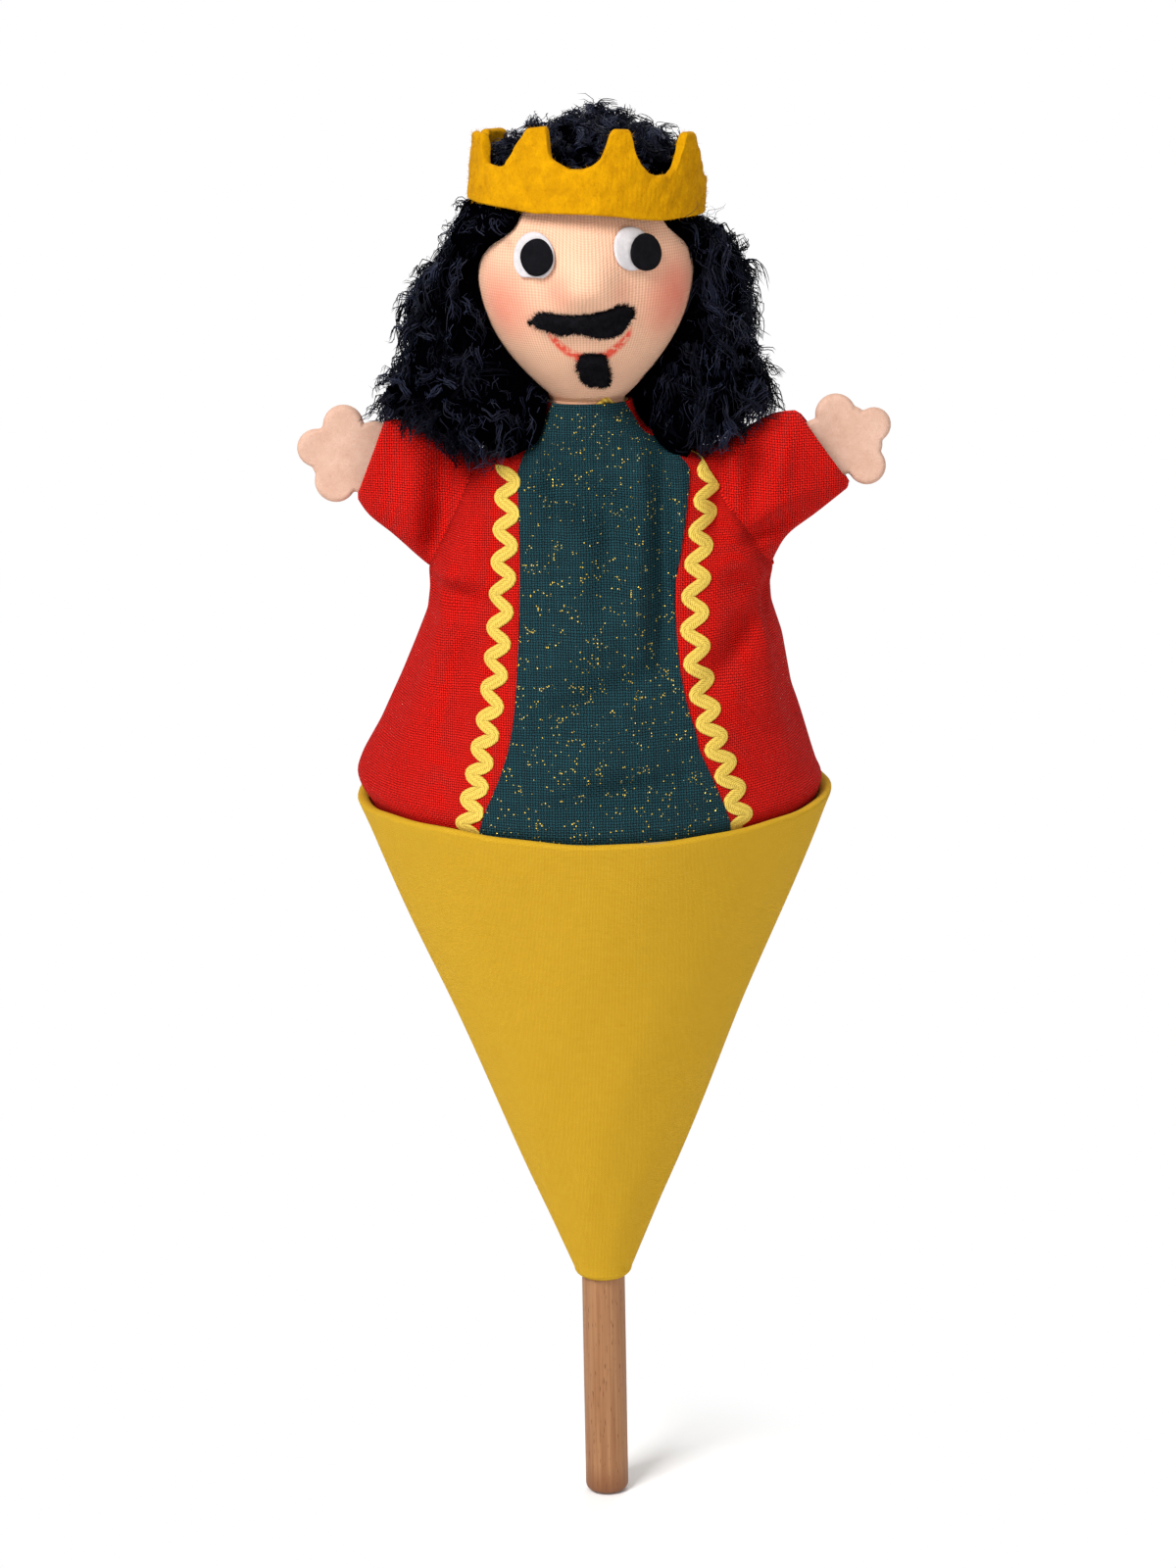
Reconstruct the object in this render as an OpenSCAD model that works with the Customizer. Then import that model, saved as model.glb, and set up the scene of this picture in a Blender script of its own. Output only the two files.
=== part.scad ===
// Pop-up puppet: a king on a rod, who sinks into a cloth-covered cone when the rod is pulled down.
// Millimetres. The origin is the centre of the rod's lower end, +Z runs up the rod, and the face looks to -Y.
// The puppet is drawn raised, with the robe taut.

/* [Rod] */
// Diameter of the beech rod
rod_d = 11; // [8:0.5:12]
// Length of the rod, from its lower end to inside the head
rod_len = 326; // [310:1:335]
// Rounding of the rod's lower end
rod_round = 1.8; // [0.5:0.1:3]

/* [Cone] */
// Outer diameter of the mouth
mouth_d = 119; // [112:1:126]
// Outer diameter just above the tip
tip_d = 14.8; // [14:0.2:17]
// Height of the tip above the rod's lower end
tip_z = 59; // [50:0.5:65]
// Height of the rim at the rod's axis
rim_z = 188; // [182:1:192]
// Slant of the hand-cut rim, in degrees
rim_tilt = 0; // [0:0.5:3]
// Rounding of the tip
tip_round = 2.2; // [1:0.1:3]
// Thickness of the rolled card
card_t = 1.2; // [0.8:0.1:1.6]
// Thickness of the cover's cloth
cover_t = 0.7; // [0.4:0.1:1]
// Depth of the hem turned into the mouth
hem_h = 9; // [5:1:15]
// Height of the beech guide in the tip
guide_h = 12; // [8:1:16]
// Running clearance of the rod in the guide, on the radius
guide_gap = 0.08; // [0.02:0.01:0.1]

/* [Head] */
// Largest radius of the head
head_r = 26.8; // [24:0.2:28]
// Height of the head's widest place
head_z = 318; // [314:1:320]
// Radius of the neck
neck_r = 9.1; // [8.5:0.1:9.3]
// Drop from the widest place to the neck
chin_h = 32; // [30:1:33]
// Rise from the widest place to the top of the head
dome_h = 32; // [28:1:34]
// Thickness of the jersey
jersey_t = 1; // [0.6:0.1:1.4]
// Radius of the nose, jersey included
nose_r = 7.5; // [6:0.5:8]
// How far the nose stands out of the face
nose_out = 5; // [3:0.5:6]
// Turn of the face to the side, in degrees
face_turn = 1.3; // [-10:0.1:10]
// Diameter of the felt eye whites
white_d = 10.9; // [9:0.1:12]
// Diameter of the felt pupils
pupil_d = 8.2; // [6:0.1:9]
// Thickness of the felt on the face
felt_t = 1.1; // [0.8:0.1:1.5]

/* [Crown] */
// Outer radius of the crown
crown_r = 28.8; // [28:0.2:30]
// Height of the lower edge above the rod's lower end
crown_z = 332.6; // [331:0.1:335]
// Height of the highest point
crown_h = 21; // [16:0.5:24]
// Height of the band that the gaps leave
crown_band = 10; // [8:0.2:12]
// Thickness of the crown's felt
crown_t = 2.3; // [1.5:0.1:2.5]
// Lean of the crown to the side, in degrees
crown_tilt = 4.4; // [0:0.1:5]
// Shift of the crown to the side
crown_shift = 0.8; // [0:0.1:1]

/* [Robe] */
// Height of the collar's edge
collar_z = 285.5; // [284:0.5:286]
// Thickness of the robe's cloth
cloth_t = 1; // [0.8:0.1:1.2]
// Depth of the robe's folds
fold_depth = 1.2; // [0:0.1:1.6]
// Depth to which the robe hangs inside the mouth
robe_hem = 7; // [5:1:8]
// Width of the ric-rac band
braid_w = 4.1; // [3:0.1:5]
// Swing of the ric-rac to either side of its centre line
braid_swing = 1.35; // [0.8:0.05:1.6]
// Number of waves in each ric-rac
braid_waves = 11; // [8:1:14]

/* [Hidden] */
$fn = 96;

// Colours as the object shows them
skin = "#efc1a3";
felt_skin = "#e8b998";
yellow = "#d2a828";
red = "#c4221c";
green = "#27484b";
braid = "#dcb34a";
black = "#15151c";
beech = "#b98a60";
card = "#b7a98c";

// Room between pieces of one body that lie on each other, and between cloth of different bodies
seat = 0.05;
free = 0.4;

// The cone's outer wall is straight above the rounded tip
wall_z = tip_z + tip_round;
slope = (mouth_d / 2 - tip_d / 2) / (rim_z - wall_z);
wall_cos = 1 / sqrt(1 + slope * slope);
over = 12;
function cone_r(z, depth = 0) = tip_d / 2 + (z - wall_z) * slope - depth / wall_cos;
function rim_at(x) = rim_z + x * tan(rim_tilt);

// Radius of the head at a height: a dome above, drawn in to the neck below
function skull_r(z) =
    z >= head_z ? head_r * sqrt(max(0, 1 - pow((z - head_z) / dome_h, 2)))
    : z <= head_z - chin_h ? neck_r
    : neck_r + (head_r - neck_r) * (1 - pow((head_z - z) / chin_h, 2));
neck_z = head_z - chin_h - 5;
head_top = head_z + dome_h;

// A point at an angle from the front, positive to +X
function around(angle, r, z) = [r * sin(angle), -r * cos(angle), z];
function flat(rows) = [for (row = rows) for (p = row) p];
function quad(a, b, c, d) = [[a, b, c], [a, c, d]];
function smooth(t) = let (u = min(1, max(0, t))) u * u * (3 - 2 * u);

// Closed solid between two grids of points: rows go up, columns go to the right seen from outside
module slab(outer, inner, ring = false) {
    rows = len(outer);
    cols = len(outer[0]);
    last = ring ? cols : cols - 1;
    function o(i, j) = i * cols + j % cols;
    function n(i, j) = rows * cols + o(i, j);
    top = rows - 1;
    skins = [for (i = [0:rows - 2]) for (j = [0:last - 1]) for (f = concat(
        quad(o(i, j), o(i + 1, j), o(i + 1, j + 1), o(i, j + 1)),
        quad(n(i, j), n(i, j + 1), n(i + 1, j + 1), n(i + 1, j)))) f];
    ends = [for (j = [0:last - 1]) for (f = concat(
        quad(o(0, j), o(0, j + 1), n(0, j + 1), n(0, j)),
        quad(o(top, j + 1), o(top, j), n(top, j), n(top, j + 1)))) f];
    sides = ring ? [] : [for (i = [0:rows - 2]) for (f = concat(
        quad(o(i + 1, 0), o(i, 0), n(i, 0), n(i + 1, 0)),
        quad(o(i, last), o(i + 1, last), n(i + 1, last), n(i, last)))) f];
    polyhedron(concat(flat(outer), flat(inner)), concat(skins, ends, sides));
}

// Rod

module rod() {
    arc = [for (a = [0:15:90]) [
        rod_d / 2 - rod_round * (1 - sin(a)), rod_round * (1 - cos(a))]];
    color(beech) rotate_extrude()
        polygon(concat([[0, 0]], arc, [[rod_d / 2, rod_len], [0, rod_len]]));
}

// Cone

module cone_fill(depth, from_z) {
    low = from_z;
    high = rim_z + over;
    translate([0, 0, low]) cylinder(h = high - low, r1 = cone_r(low, depth), r2 = cone_r(high, depth));
}

module above_rim(drop) {
    size = 2 * mouth_d;
    translate([0, 0, rim_z - drop]) rotate([0, -rim_tilt, 0])
        translate([-size / 2, -size / 2, 0]) cube([size, size, size]);
}

module cone_outside() {
    arc = [for (a = [0:15:90]) [
        tip_d / 2 - tip_round * (1 - sin(a)), tip_z + tip_round * (1 - cos(a))]];
    high = rim_z + over;
    rotate_extrude() polygon(concat([[0, tip_z]], arc, [[cone_r(high), high], [0, high]]));
}

module cone_card() {
    foot = tip_z + cover_t + 2;
    color(card) difference() {
        cone_fill(cover_t + seat, foot);
        cone_fill(cover_t + card_t, foot - 1);
        above_rim(cover_t + seat);
        translate([0, 0, tip_z]) cylinder(h = 8, r = rod_d / 2 + free);
    }
}

module cone_cover() {
    foot = tip_z + cover_t;
    color(yellow) difference() {
        cone_outside();
        above_rim(0);
        difference() {
            cone_fill(cover_t, foot);
            cone_fill(cover_t + card_t + seat, foot - 1);
            above_rim(cover_t);
        }
        difference() {
            cone_fill(cover_t + card_t, foot);
            above_rim(hem_h);
        }
        cone_fill(2 * cover_t + card_t + seat, foot);
        translate([0, 0, tip_z - 1]) cylinder(h = 10, r = rod_d / 2 + free);
    }
}

module tip_guide() {
    low = tip_z + 5.5;
    depth = cover_t + card_t + seat;
    color(beech) difference() {
        translate([0, 0, low])
            cylinder(h = guide_h, r1 = cone_r(low, depth), r2 = cone_r(low + guide_h, depth));
        translate([0, 0, low - 1]) cylinder(h = guide_h + 2, r = rod_d / 2 + guide_gap);
    }
}

// Head

head_steps = 24;

module skull(grow) {
    profile = [for (i = [0:head_steps - 1])
        let (z = neck_z + (head_top - neck_z) * sin(90 * i / head_steps)) [skull_r(z) + grow, z]];
    rotate_extrude() polygon(concat([[0, neck_z]], profile, [[0, head_top + grow]]));
}

module nose_ball(r) {
    rotate([0, 0, face_turn]) translate([0, -(head_r + nose_out - nose_r), head_z - 0.5]) sphere(r = r);
}

module head_core() {
    color("#e9e2d2") difference() {
        skull(-jersey_t - seat);
        translate([0, 0, neck_z - 1]) cylinder(h = rod_len - neck_z + 1, r = rod_d / 2 + 0.02);
    }
}

module nose_pad() {
    color("#e9e2d2") difference() {
        nose_ball(nose_r - jersey_t - seat);
        skull(-jersey_t);
    }
}

module head_skin() {
    color(skin) difference() {
        union() {
            skull(0);
            nose_ball(nose_r);
        }
        skull(-jersey_t);
        nose_ball(nose_r - jersey_t);
        translate([0, 0, neck_z - 1]) cylinder(h = 3, r = neck_r - jersey_t);
    }
}

// Round felt piece that lies on the head, between two heights above the jersey
module face_disc(angle, z, d, low, high) {
    intersection() {
        difference() {
            skull(high);
            skull(low);
        }
        translate([0, 0, z]) rotate([0, 0, angle]) rotate([90, 0, 0]) cylinder(h = 2 * head_r, d = d);
    }
}

// Places of the eyes: the angle from the front and the height
white_left = [-27, 323];
white_right = [27, 324.6];
pupil_at_left = [-24.2, 322.8];
pupil_at_right = [32.4, 323.6];

module eye_white_left() { color("#ece9ea") face_disc(white_left[0], white_left[1], white_d, seat, felt_t); }
module eye_white_right() { color("#ece9ea") face_disc(white_right[0], white_right[1], white_d, seat, felt_t); }

module pupil_left() {
    color(black) face_disc(pupil_at_left[0], pupil_at_left[1], pupil_d, felt_t + seat, 2 * felt_t);
}

module pupil_right() {
    color(black) face_disc(pupil_at_right[0], pupil_at_right[1], pupil_d, felt_t + seat, 2 * felt_t);
}

// Strip of felt on the face, between a lower and an upper edge that run from left to right
module face_strip(xs, low, high, t) {
    across = 5;
    function on_face(x, z, lift) = let (r = skull_r(z) + lift) [x, -sqrt(max(0, r * r - x * x)), z];
    function grid(lift) = [for (i = [0:across - 1]) [for (k = [0:len(xs) - 1])
        on_face(xs[k], low[k] + (high[k] - low[k]) * i / (across - 1), lift)]];
    slab(grid(t), grid(seat));
}

module moustache() {
    steps = 20;
    half = 12.4;
    u = [for (i = [0:steps]) 2 * i / steps - 1];
    thick = [for (s = u) 0.25 + (3.1 + 0.5 * s) * pow(max(0, 1 - pow(abs(s), 2.4)), 0.8)
        * (1 - 0.25 * exp(-pow(s / 0.16, 2)))];
    mid = [for (s = u) 306.9 + 0.4 * s + 1.6 * s * s];
    color(black) face_strip([for (s = u) -0.9 + half * s],
        [for (i = [0:steps]) mid[i] - thick[i]],
        [for (i = [0:steps]) mid[i] + thick[i] * 0.9], 1.8);
}

module goatee() {
    steps = 8;
    u = [for (i = [0:steps]) 2 * i / steps - 1];
    drop = [for (s = u) pow(max(0, 1 - pow(abs(s), 4)), 0.5)];
    color(black) face_strip([for (s = u) 2 + 3.9 * s],
        [for (i = [0:steps]) 294.5 - 4.6 * drop[i]],
        [for (i = [0:steps]) 295 + 4 * drop[i]], 1.8);
}

module neck_thread() {
    thread_d = 1;
    z = head_z - chin_h + 0.7;
    color("#e0b73a") translate([0, 0, z]) rotate_extrude()
        translate([skull_r(z + thread_d / 2) + thread_d / 2 + seat, 0]) circle(d = thread_d);
}

// Wig: locks that hug the head and hang over the shoulders, lumpy like curled plush

wig_gap = 0.3;
wig_edge = 62;
wig_side = 116;
// Outline of the hanging hair in radius and height, from the crown's edge to the tips
wig_outer = [[28.6, 331.4], [35, 326], [40.6, 318], [44.6, 308], [46.2, 298], [48.6, 291.5],
    [48.6, 286.4], [45, 283.8], [37, 281.6], [28, 278.4]];
wig_inner_z = [331.2, 326, 320, 313, 306, 299, 293, 288.6, 284.6, 279];
function wig_inner_r(z) = let (low = head_z - chin_h + 3) skull_r(max(z, low)) + wig_gap + max(0, low - z) * 0.9;
function lump(angle, i) = 1.5 * cos(angle * 9 + i * 80) * sin(min(90, i * 22));
function crown_dip(angle, r, i) = i > 1 ? 0 : -r * sin(angle) * tan(crown_tilt) * (1 - i / 2);

module wig_lock(from_a, to_a, cols) {
    angles = [for (j = [0:cols]) from_a + (to_a - from_a) * j / cols];
    outer = [for (i = [len(wig_outer) - 1:-1:0]) [for (a = angles) let (p = wig_outer[i])
        around(a, p[0] + lump(a, i), p[1] + crown_dip(a, p[0], i))]];
    inner = [for (i = [len(wig_outer) - 1:-1:0]) [for (a = angles)
        let (z = wig_inner_z[i] + crown_dip(a, head_r, i)) around(a, wig_inner_r(z), z)]];
    slab(outer, inner);
}

module wig_left() { color(black) wig_lock(-wig_side, -wig_edge, 9); }
module wig_right() { color(black) wig_lock(wig_edge, wig_side, 9); }
module wig_back() { color(black) wig_lock(wig_side, 360 - wig_side, 20); }

module in_crown() {
    translate([crown_shift, 0, crown_z]) rotate([0, crown_tilt, 0]) children();
}

module wig_top() {
    r = crown_r - crown_t - 0.6;
    straight = 7;
    rise = 17;
    arc = [for (a = [0:10:80]) [r * cos(a), straight + rise * sin(a)]];
    color(black) difference() {
        in_crown() rotate_extrude() polygon(concat([[0, 0], [r, 0]], arc, [[0, straight + rise]]));
        skull(wig_gap);
    }
}

// Crown: a felt strip joined to a ring. The gaps are cut by hand, so no two points are alike

// Middle and half-width of each gap, in degrees from the front
crown_gaps = [[-51, 11], [-7, 13.5], [34, 12.5], [88.7, 24.8], [140, 12], [179, 13], [218, 13], [260.5, 10.7]];
// Height of the point that follows each gap, as a share of the highest
crown_shares = [0.97, 1, 0.97, 0.76, 0.73, 0.69, 0.76, 0.81];
crown_count = len(crown_gaps);

function crown_edge(k, u) =
    let (top = crown_h * crown_shares[u < 0 ? (k + crown_count - 1) % crown_count : k])
    crown_band + (top - crown_band) * (1 - pow(1 - pow(abs(u), 2.4), 0.6));
function gap_end(k, side) = let (g = crown_gaps[k % crown_count])
    g[0] + side * g[1] + (k < crown_count ? 0 : 360);
// Angle and height along the upper edge
crown_outline = [for (k = [0:crown_count - 1]) each concat(
    [for (t = [-80:20:80]) let (u = sin(t) / sin(80))
        [crown_gaps[k][0] + crown_gaps[k][1] * u, crown_edge(k, u)]],
    [[(gap_end(k, 1) + gap_end(k + 1, -1)) / 2, crown_h * crown_shares[k]]])];

module crown() {
    function grid(r) = [for (row = [0, 1]) [for (p = crown_outline) around(p[0], r, row * p[1])]];
    color(yellow) in_crown() slab(grid(crown_r), grid(crown_r - crown_t), ring = true);
}

// Robe: half-widths and half-depths of the cloth at heights above the rod's lower end

half_left = [[180, 53], [188.5, 56.3], [191, 58.4], [194, 59.2], [198, 57.4], [206, 52.9], [218, 47.2],
    [226, 43.7], [234, 40.4], [240, 39.6], [245, 39.8], [272.5, 27], [274.5, 20.5], [278, 14.6],
    [282, 11.8], [285.5, 10.9]];
half_right = [[180, 53], [188.5, 56.3], [191, 57], [193, 55.8], [197, 54.4], [205, 51.6], [213, 48.8],
    [226, 46.6], [234, 44], [240, 43.8], [244, 44], [272.5, 27], [274.5, 20.5], [278, 14.6],
    [282, 11.8], [285.5, 10.9]];
half_depth = [[180, 53], [188.5, 56.3], [191, 56.4], [198, 51], [213, 42.8], [226, 36.5], [244, 27.8],
    [258, 21.5], [272.5, 14.6], [276, 12.8], [282, 11.3], [285.5, 10.9]];
// How square the section is: 2 is an ellipse
squareness = [[188, 2], [220, 2.3], [250, 3], [272, 3], [280, 2.2], [285.5, 2]];
green_left = [[181, 25.6], [190, 25.6], [209, 21.7], [222, 19.4], [235, 17.5], [253, 16.8], [270, 17],
    [274.5, 15], [278, 11.6], [285.5, 8.2]];
green_right = [[181, 32.7], [190, 32.7], [208, 26.2], [221, 22.3], [235, 21.3], [256, 23.4], [270, 22],
    [274.5, 16.6], [278, 12], [285.5, 8.6]];
braid_left_x = [[186, 31], [192, 30], [203, 27.8], [214, 25.4], [225, 23.8], [244, 21.9], [262, 20.2], [266, 20]];
braid_right_x = [[186, 37.6], [191, 35.5], [202, 31.6], [213, 28.2], [224, 25.7], [235, 24.8], [254, 26.6],
    [266, 26.2]];

// Near the mouth the cloth follows the rim's slant, and this fades into the body
function half_w(side, z) = lookup(z, side < 0 ? half_left : half_right);
function rise(x, z) = (rim_at(x) - rim_z) * (1 - smooth((z - rim_z) / 30));
// Folds fade out at the hem and at the collar
function fold(angle, z) = fold_depth * smooth((z - rim_z - 2) / 16) * smooth((262 - z) / 26)
    * (cos(angle * 7 + 25) + 0.7 * cos(angle * 12 - 40)) / 1.7;
function superellipse(s, e) = sign(s) * pow(abs(s), e);
function robe_point(angle, z, inset = 0) =
    let (side = sin(angle), e = 2 / lookup(z, squareness), across = superellipse(side, e),
        widen = rise(half_w(side, z) * across, z) * slope * (1 - smooth((z - rim_z) / 12)),
        f = fold(angle, z) - inset + widen,
        x = (half_w(side, z) + f) * across,
        y = -(lookup(z, half_depth) + f) * superellipse(cos(angle), e))
    [x, y, z + rise(x, z)];
// Angle at which the robe's front reaches a distance from the middle
function angle_at(side, x, z) =
    side * asin(min(0.985, pow(x / half_w(side, z), lookup(z, squareness) / 2)));

hem_z = rim_z - robe_hem;
robe_zs = [hem_z, 185.5, 188.5, 191, 194, 198, 204, 211, 219, 228, 237, 245, 253, 261, 268, 272.5, 274.5, 278,
    282, collar_z];

module robe_patch(from_a, to_a, cols) {
    function grid(inset) = [for (i = [0:len(robe_zs) - 1]) [for (j = [0:cols])
        robe_point(from_a[i] + (to_a[i] - from_a[i]) * j / cols, robe_zs[i], inset)]];
    slab(grid(0), grid(cloth_t));
}

edge_left = [for (z = robe_zs) angle_at(-1, lookup(z, green_left), z)];
edge_right = [for (z = robe_zs) angle_at(1, lookup(z, green_right), z)];
side_seam = 96;
function all_rows(angle) = [for (z = robe_zs) angle];

module front_panel() { color(green) robe_patch(edge_left, edge_right, 12); }
module robe_front_left() { color(red) robe_patch(all_rows(-side_seam), edge_left, 10); }
module robe_front_right() { color(red) robe_patch(edge_right, all_rows(side_seam), 10); }
module robe_back() { color(red) robe_patch(all_rows(side_seam), all_rows(360 - side_seam), 20); }

// Ric-rac: a wavy band that covers the seam of the green panel
module rickrack(side, centre_x) {
    low = rim_z + 0.8;
    high = 264;
    per_wave = 6;
    thick = 0.9;
    lie = 0.3;
    steps = braid_waves * per_wave;
    function across(i, edge) = let (z = low + (high - low) * i / steps)
        lookup(z, centre_x) + braid_swing * sin(360 * i / per_wave) + edge * braid_w / 2;
    function place(i, edge, lift) = let (z = low + (high - low) * i / steps, a = angle_at(side, across(i, edge), z))
        robe_point(a, z, -lift);
    function grid(lift) = [for (i = [0:steps]) [for (edge = [-side, side]) place(i, edge, lift)]];
    color(braid) slab(grid(lie + thick), grid(lie));
}

module rickrack_left() { rickrack(-1, braid_left_x); }
module rickrack_right() { rickrack(1, braid_right_x); }

// Sleeves: drawn on the +X side, from the armhole to the cuff, as a top edge and an under edge

sleeve_top_left = [[27.6, 272.4], [33, 274.8], [37.5, 277.6], [42.5, 280.4], [49.6, 281.5]];
sleeve_under_left = [[40.8, 245.4], [43.4, 248.2], [48.5, 253], [54.2, 257.8], [57.2, 262.3]];
sleeve_top_right = [[27.6, 272.4], [33, 274.6], [38.2, 277.4], [45.2, 280.9], [51.5, 281.7]];
sleeve_under_right = [[45, 243.8], [46.4, 247.6], [49.5, 252], [56, 256.2], [64.6, 263.1]];
sleeve_depth = [13.4, 12.6, 11.2, 9, 7.4];
function at(list, s) = let (k = min(len(list) - 2, floor(s)), t = s - k) list[k] * (1 - t) + list[k + 1] * t;

module sleeve(top, under, side) {
    rings = 8;
    sides = 20;
    arm_gap = 1.2;
    function ring_point(s, a, inset) =
        let (t = at(top, s), u = at(under, s), mid = (t + u) / 2, half = (t - u) / 2,
            k = 1 - inset / norm(half), y = -(at(sleeve_depth, s) - inset) * sin(a),
            p = mid + half * k * cos(a), z = p[1],
            n = lookup(z, squareness), b = lookup(z, half_depth),
            wall = half_w(side, z) * pow(max(0, 1 - pow(abs(y) / b, n)), 1 / n) + arm_gap)
        [s == 0 ? max(wall, 0) : p[0] - (p[0] - wall) * max(0, 1 - s) * (1 - pow(cos(a), 2)), y, z];
    function grid(inset) = [for (i = [0:rings]) [for (j = [0:sides - 1])
        ring_point((len(top) - 1) * i / rings, 360 * j / sides, inset)]];
    slab(grid(0), grid(cloth_t), ring = true);
}

module sleeve_left() { color(red) mirror([1, 0, 0]) sleeve(sleeve_top_left, sleeve_under_left, -1); }
module sleeve_right() { color(red) sleeve(sleeve_top_right, sleeve_under_right, 1); }

// Hands: two layers of felt with three round lobes and a wrist that is sewn into the cuff
module hand(palm, lobes, wrist) {
    felt = 3;
    color(felt_skin) translate([0, felt / 2, 0]) rotate([90, 0, 0]) linear_extrude(felt) {
        translate([palm[0], palm[1]]) circle(r = palm[2]);
        for (l = lobes) translate([l[0], l[1]]) circle(r = l[2]);
        reach = palm - wrist;
        translate([wrist[0], wrist[1]]) rotate(atan2(reach[1], reach[0]))
            translate([0, -wrist[2]]) square([norm([reach[0], reach[1]]), 2 * wrist[2]]);
    }
}

module hand_left() {
    hand([-58.6, 273.7, 6.2], [[-59.7, 280.2, 5], [-66.4, 274.5, 5], [-62.8, 266.4, 5.1]], [-49, 269.5, 5]);
}

module hand_right() {
    hand([63.2, 275, 6.3], [[60.9, 280.7, 5.2], [69.9, 277.5, 4.6], [68.4, 267.8, 4.7]], [53, 270, 5]);
}

rod();
head_core();
nose_pad();
head_skin();
eye_white_left();
eye_white_right();
pupil_left();
pupil_right();
moustache();
goatee();
wig_top();
wig_left();
wig_right();
wig_back();
crown();
neck_thread();
robe_front_left();
robe_front_right();
robe_back();
front_panel();
rickrack_left();
rickrack_right();
sleeve_left();
sleeve_right();
hand_left();
hand_right();
cone_card();
cone_cover();
tip_guide();
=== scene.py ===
"""Pop-up puppet: a king on a beech rod, who sinks into a cloth-covered cone.

Lengths are in millimetres until a mesh is made. +Z runs up the rod, and the face looks to -Y.
"""

import math

import bpy
import numpy as np
from mathutils import Matrix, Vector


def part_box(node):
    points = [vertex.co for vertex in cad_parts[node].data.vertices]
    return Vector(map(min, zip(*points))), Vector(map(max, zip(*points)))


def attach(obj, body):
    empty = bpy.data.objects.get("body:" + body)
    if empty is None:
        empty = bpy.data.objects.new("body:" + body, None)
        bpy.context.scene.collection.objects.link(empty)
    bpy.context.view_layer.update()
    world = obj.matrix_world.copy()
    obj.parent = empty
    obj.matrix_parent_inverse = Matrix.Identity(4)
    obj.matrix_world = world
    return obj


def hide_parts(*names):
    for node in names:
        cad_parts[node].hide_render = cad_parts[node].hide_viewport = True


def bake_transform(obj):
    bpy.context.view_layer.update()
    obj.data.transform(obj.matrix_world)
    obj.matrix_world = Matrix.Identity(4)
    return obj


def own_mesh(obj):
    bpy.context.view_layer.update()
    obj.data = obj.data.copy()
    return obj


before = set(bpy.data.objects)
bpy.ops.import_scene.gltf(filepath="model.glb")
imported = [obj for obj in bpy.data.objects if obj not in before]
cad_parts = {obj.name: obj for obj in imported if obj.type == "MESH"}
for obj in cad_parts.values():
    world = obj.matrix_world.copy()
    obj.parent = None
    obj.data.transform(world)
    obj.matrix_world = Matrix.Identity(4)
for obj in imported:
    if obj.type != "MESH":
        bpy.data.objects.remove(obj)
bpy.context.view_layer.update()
MM = 0.001


def span(node):
    """Lowest and highest corner of a node, in millimetres."""
    low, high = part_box(node)
    return np.array(low) / MM, np.array(high) / MM


# Rod and cone: the cone's outer radius at the mouth and at the tip, the rounding of the tip and the
# height of the rim. T stands for thickness. The cloth is turned in by HEM at the mouth.
ROD_R = span("rod")[1][0]
TIP_Z = span("cone_cover")[0][2]
MOUTH_R = 59.5
TIP_R = 7.4
TIP_ROUND = 2.2
RIM_Z = 188.0
COVER_T = 0.7
CARD_T = 1.2
HEM = 9.0
# The straight wall starts at this height, widens by SLOPE for each mm, and leans by this cosine
WALL_Z = TIP_Z + TIP_ROUND
SLOPE = (MOUTH_R - TIP_R) / (RIM_Z - WALL_Z)
WALL_COS = 1 / math.sqrt(1 + SLOPE * SLOPE)

# Head: it is widest at HEAD_Z, with a dome above that and a chin that narrows to the neck below it
HEAD_R = 26.8
HEAD_Z = 318.0
NECK_R = 9.1
CHIN_DROP = 32.0
DOME = 32.0
# The nose's middle (x, z), and how far it stands out
NOSE_AT = (0.7, 316.6)
NOSE_OUT = 5.9

# Robe. Its hem is tucked into the cone
COLLAR_Z = 285.5
HEM_Z = RIM_Z - 7
CLOTH_T = 0.8
SHOULDER_Z = 272.5
SIDES = {-1: "left", 1: "right"}


# Small helpers

def smooth(t):
    """0 below 0, 1 above 1, and an S between."""
    u = np.clip(t, 0, 1)
    return u * u * (3 - 2 * u)


def table(rows, reach):
    """A look-up of values at heights, softened over a short reach."""
    at, value = np.array(rows, float).T
    steps = np.linspace(-reach, reach, 9)

    def look(z):
        return np.mean([np.interp(np.asarray(z, float) + d, at, value) for d in steps], axis=0)

    return look


def spline(points, s):
    """Places on a smooth curve through points; s counts from 0 at the first of them."""
    points = np.asarray(points, float)
    s = np.clip(np.asarray(s, float), 0, len(points) - 1)
    k = np.minimum(s.astype(int), len(points) - 2)
    t = (s - k).reshape(s.shape + (1,) * (points.ndim - 1))
    a, b = points[k], points[k + 1]
    before = points[np.maximum(k - 1, 0)]
    after = points[np.minimum(k + 2, len(points) - 1)]
    return 0.5 * (2 * a + (b - before) * t + (2 * before - 5 * a + 4 * b - after) * t ** 2
                  + (3 * a - before - 3 * b + after) * t ** 3)


def unit(v):
    """Vectors made 1 long."""
    return v / np.maximum(np.linalg.norm(v, axis=-1, keepdims=True), 1e-9)


def stack(x, y, z):
    """Points from their coordinates, which may be arrays or single numbers."""
    return np.stack(np.broadcast_arrays(x, y, z), axis=-1).astype(float)


def round_rod(r, turn, z):
    """A place at a distance from the rod's middle, at an angle in radians from the front, positive to +X."""
    return stack(r * np.sin(turn), -r * np.cos(turn), z)


def both_faces(outer, inner):
    """The points of an outer grid, and then those of its inner grid."""
    return np.concatenate([outer.reshape(-1, 3), inner.reshape(-1, 3)])


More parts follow.
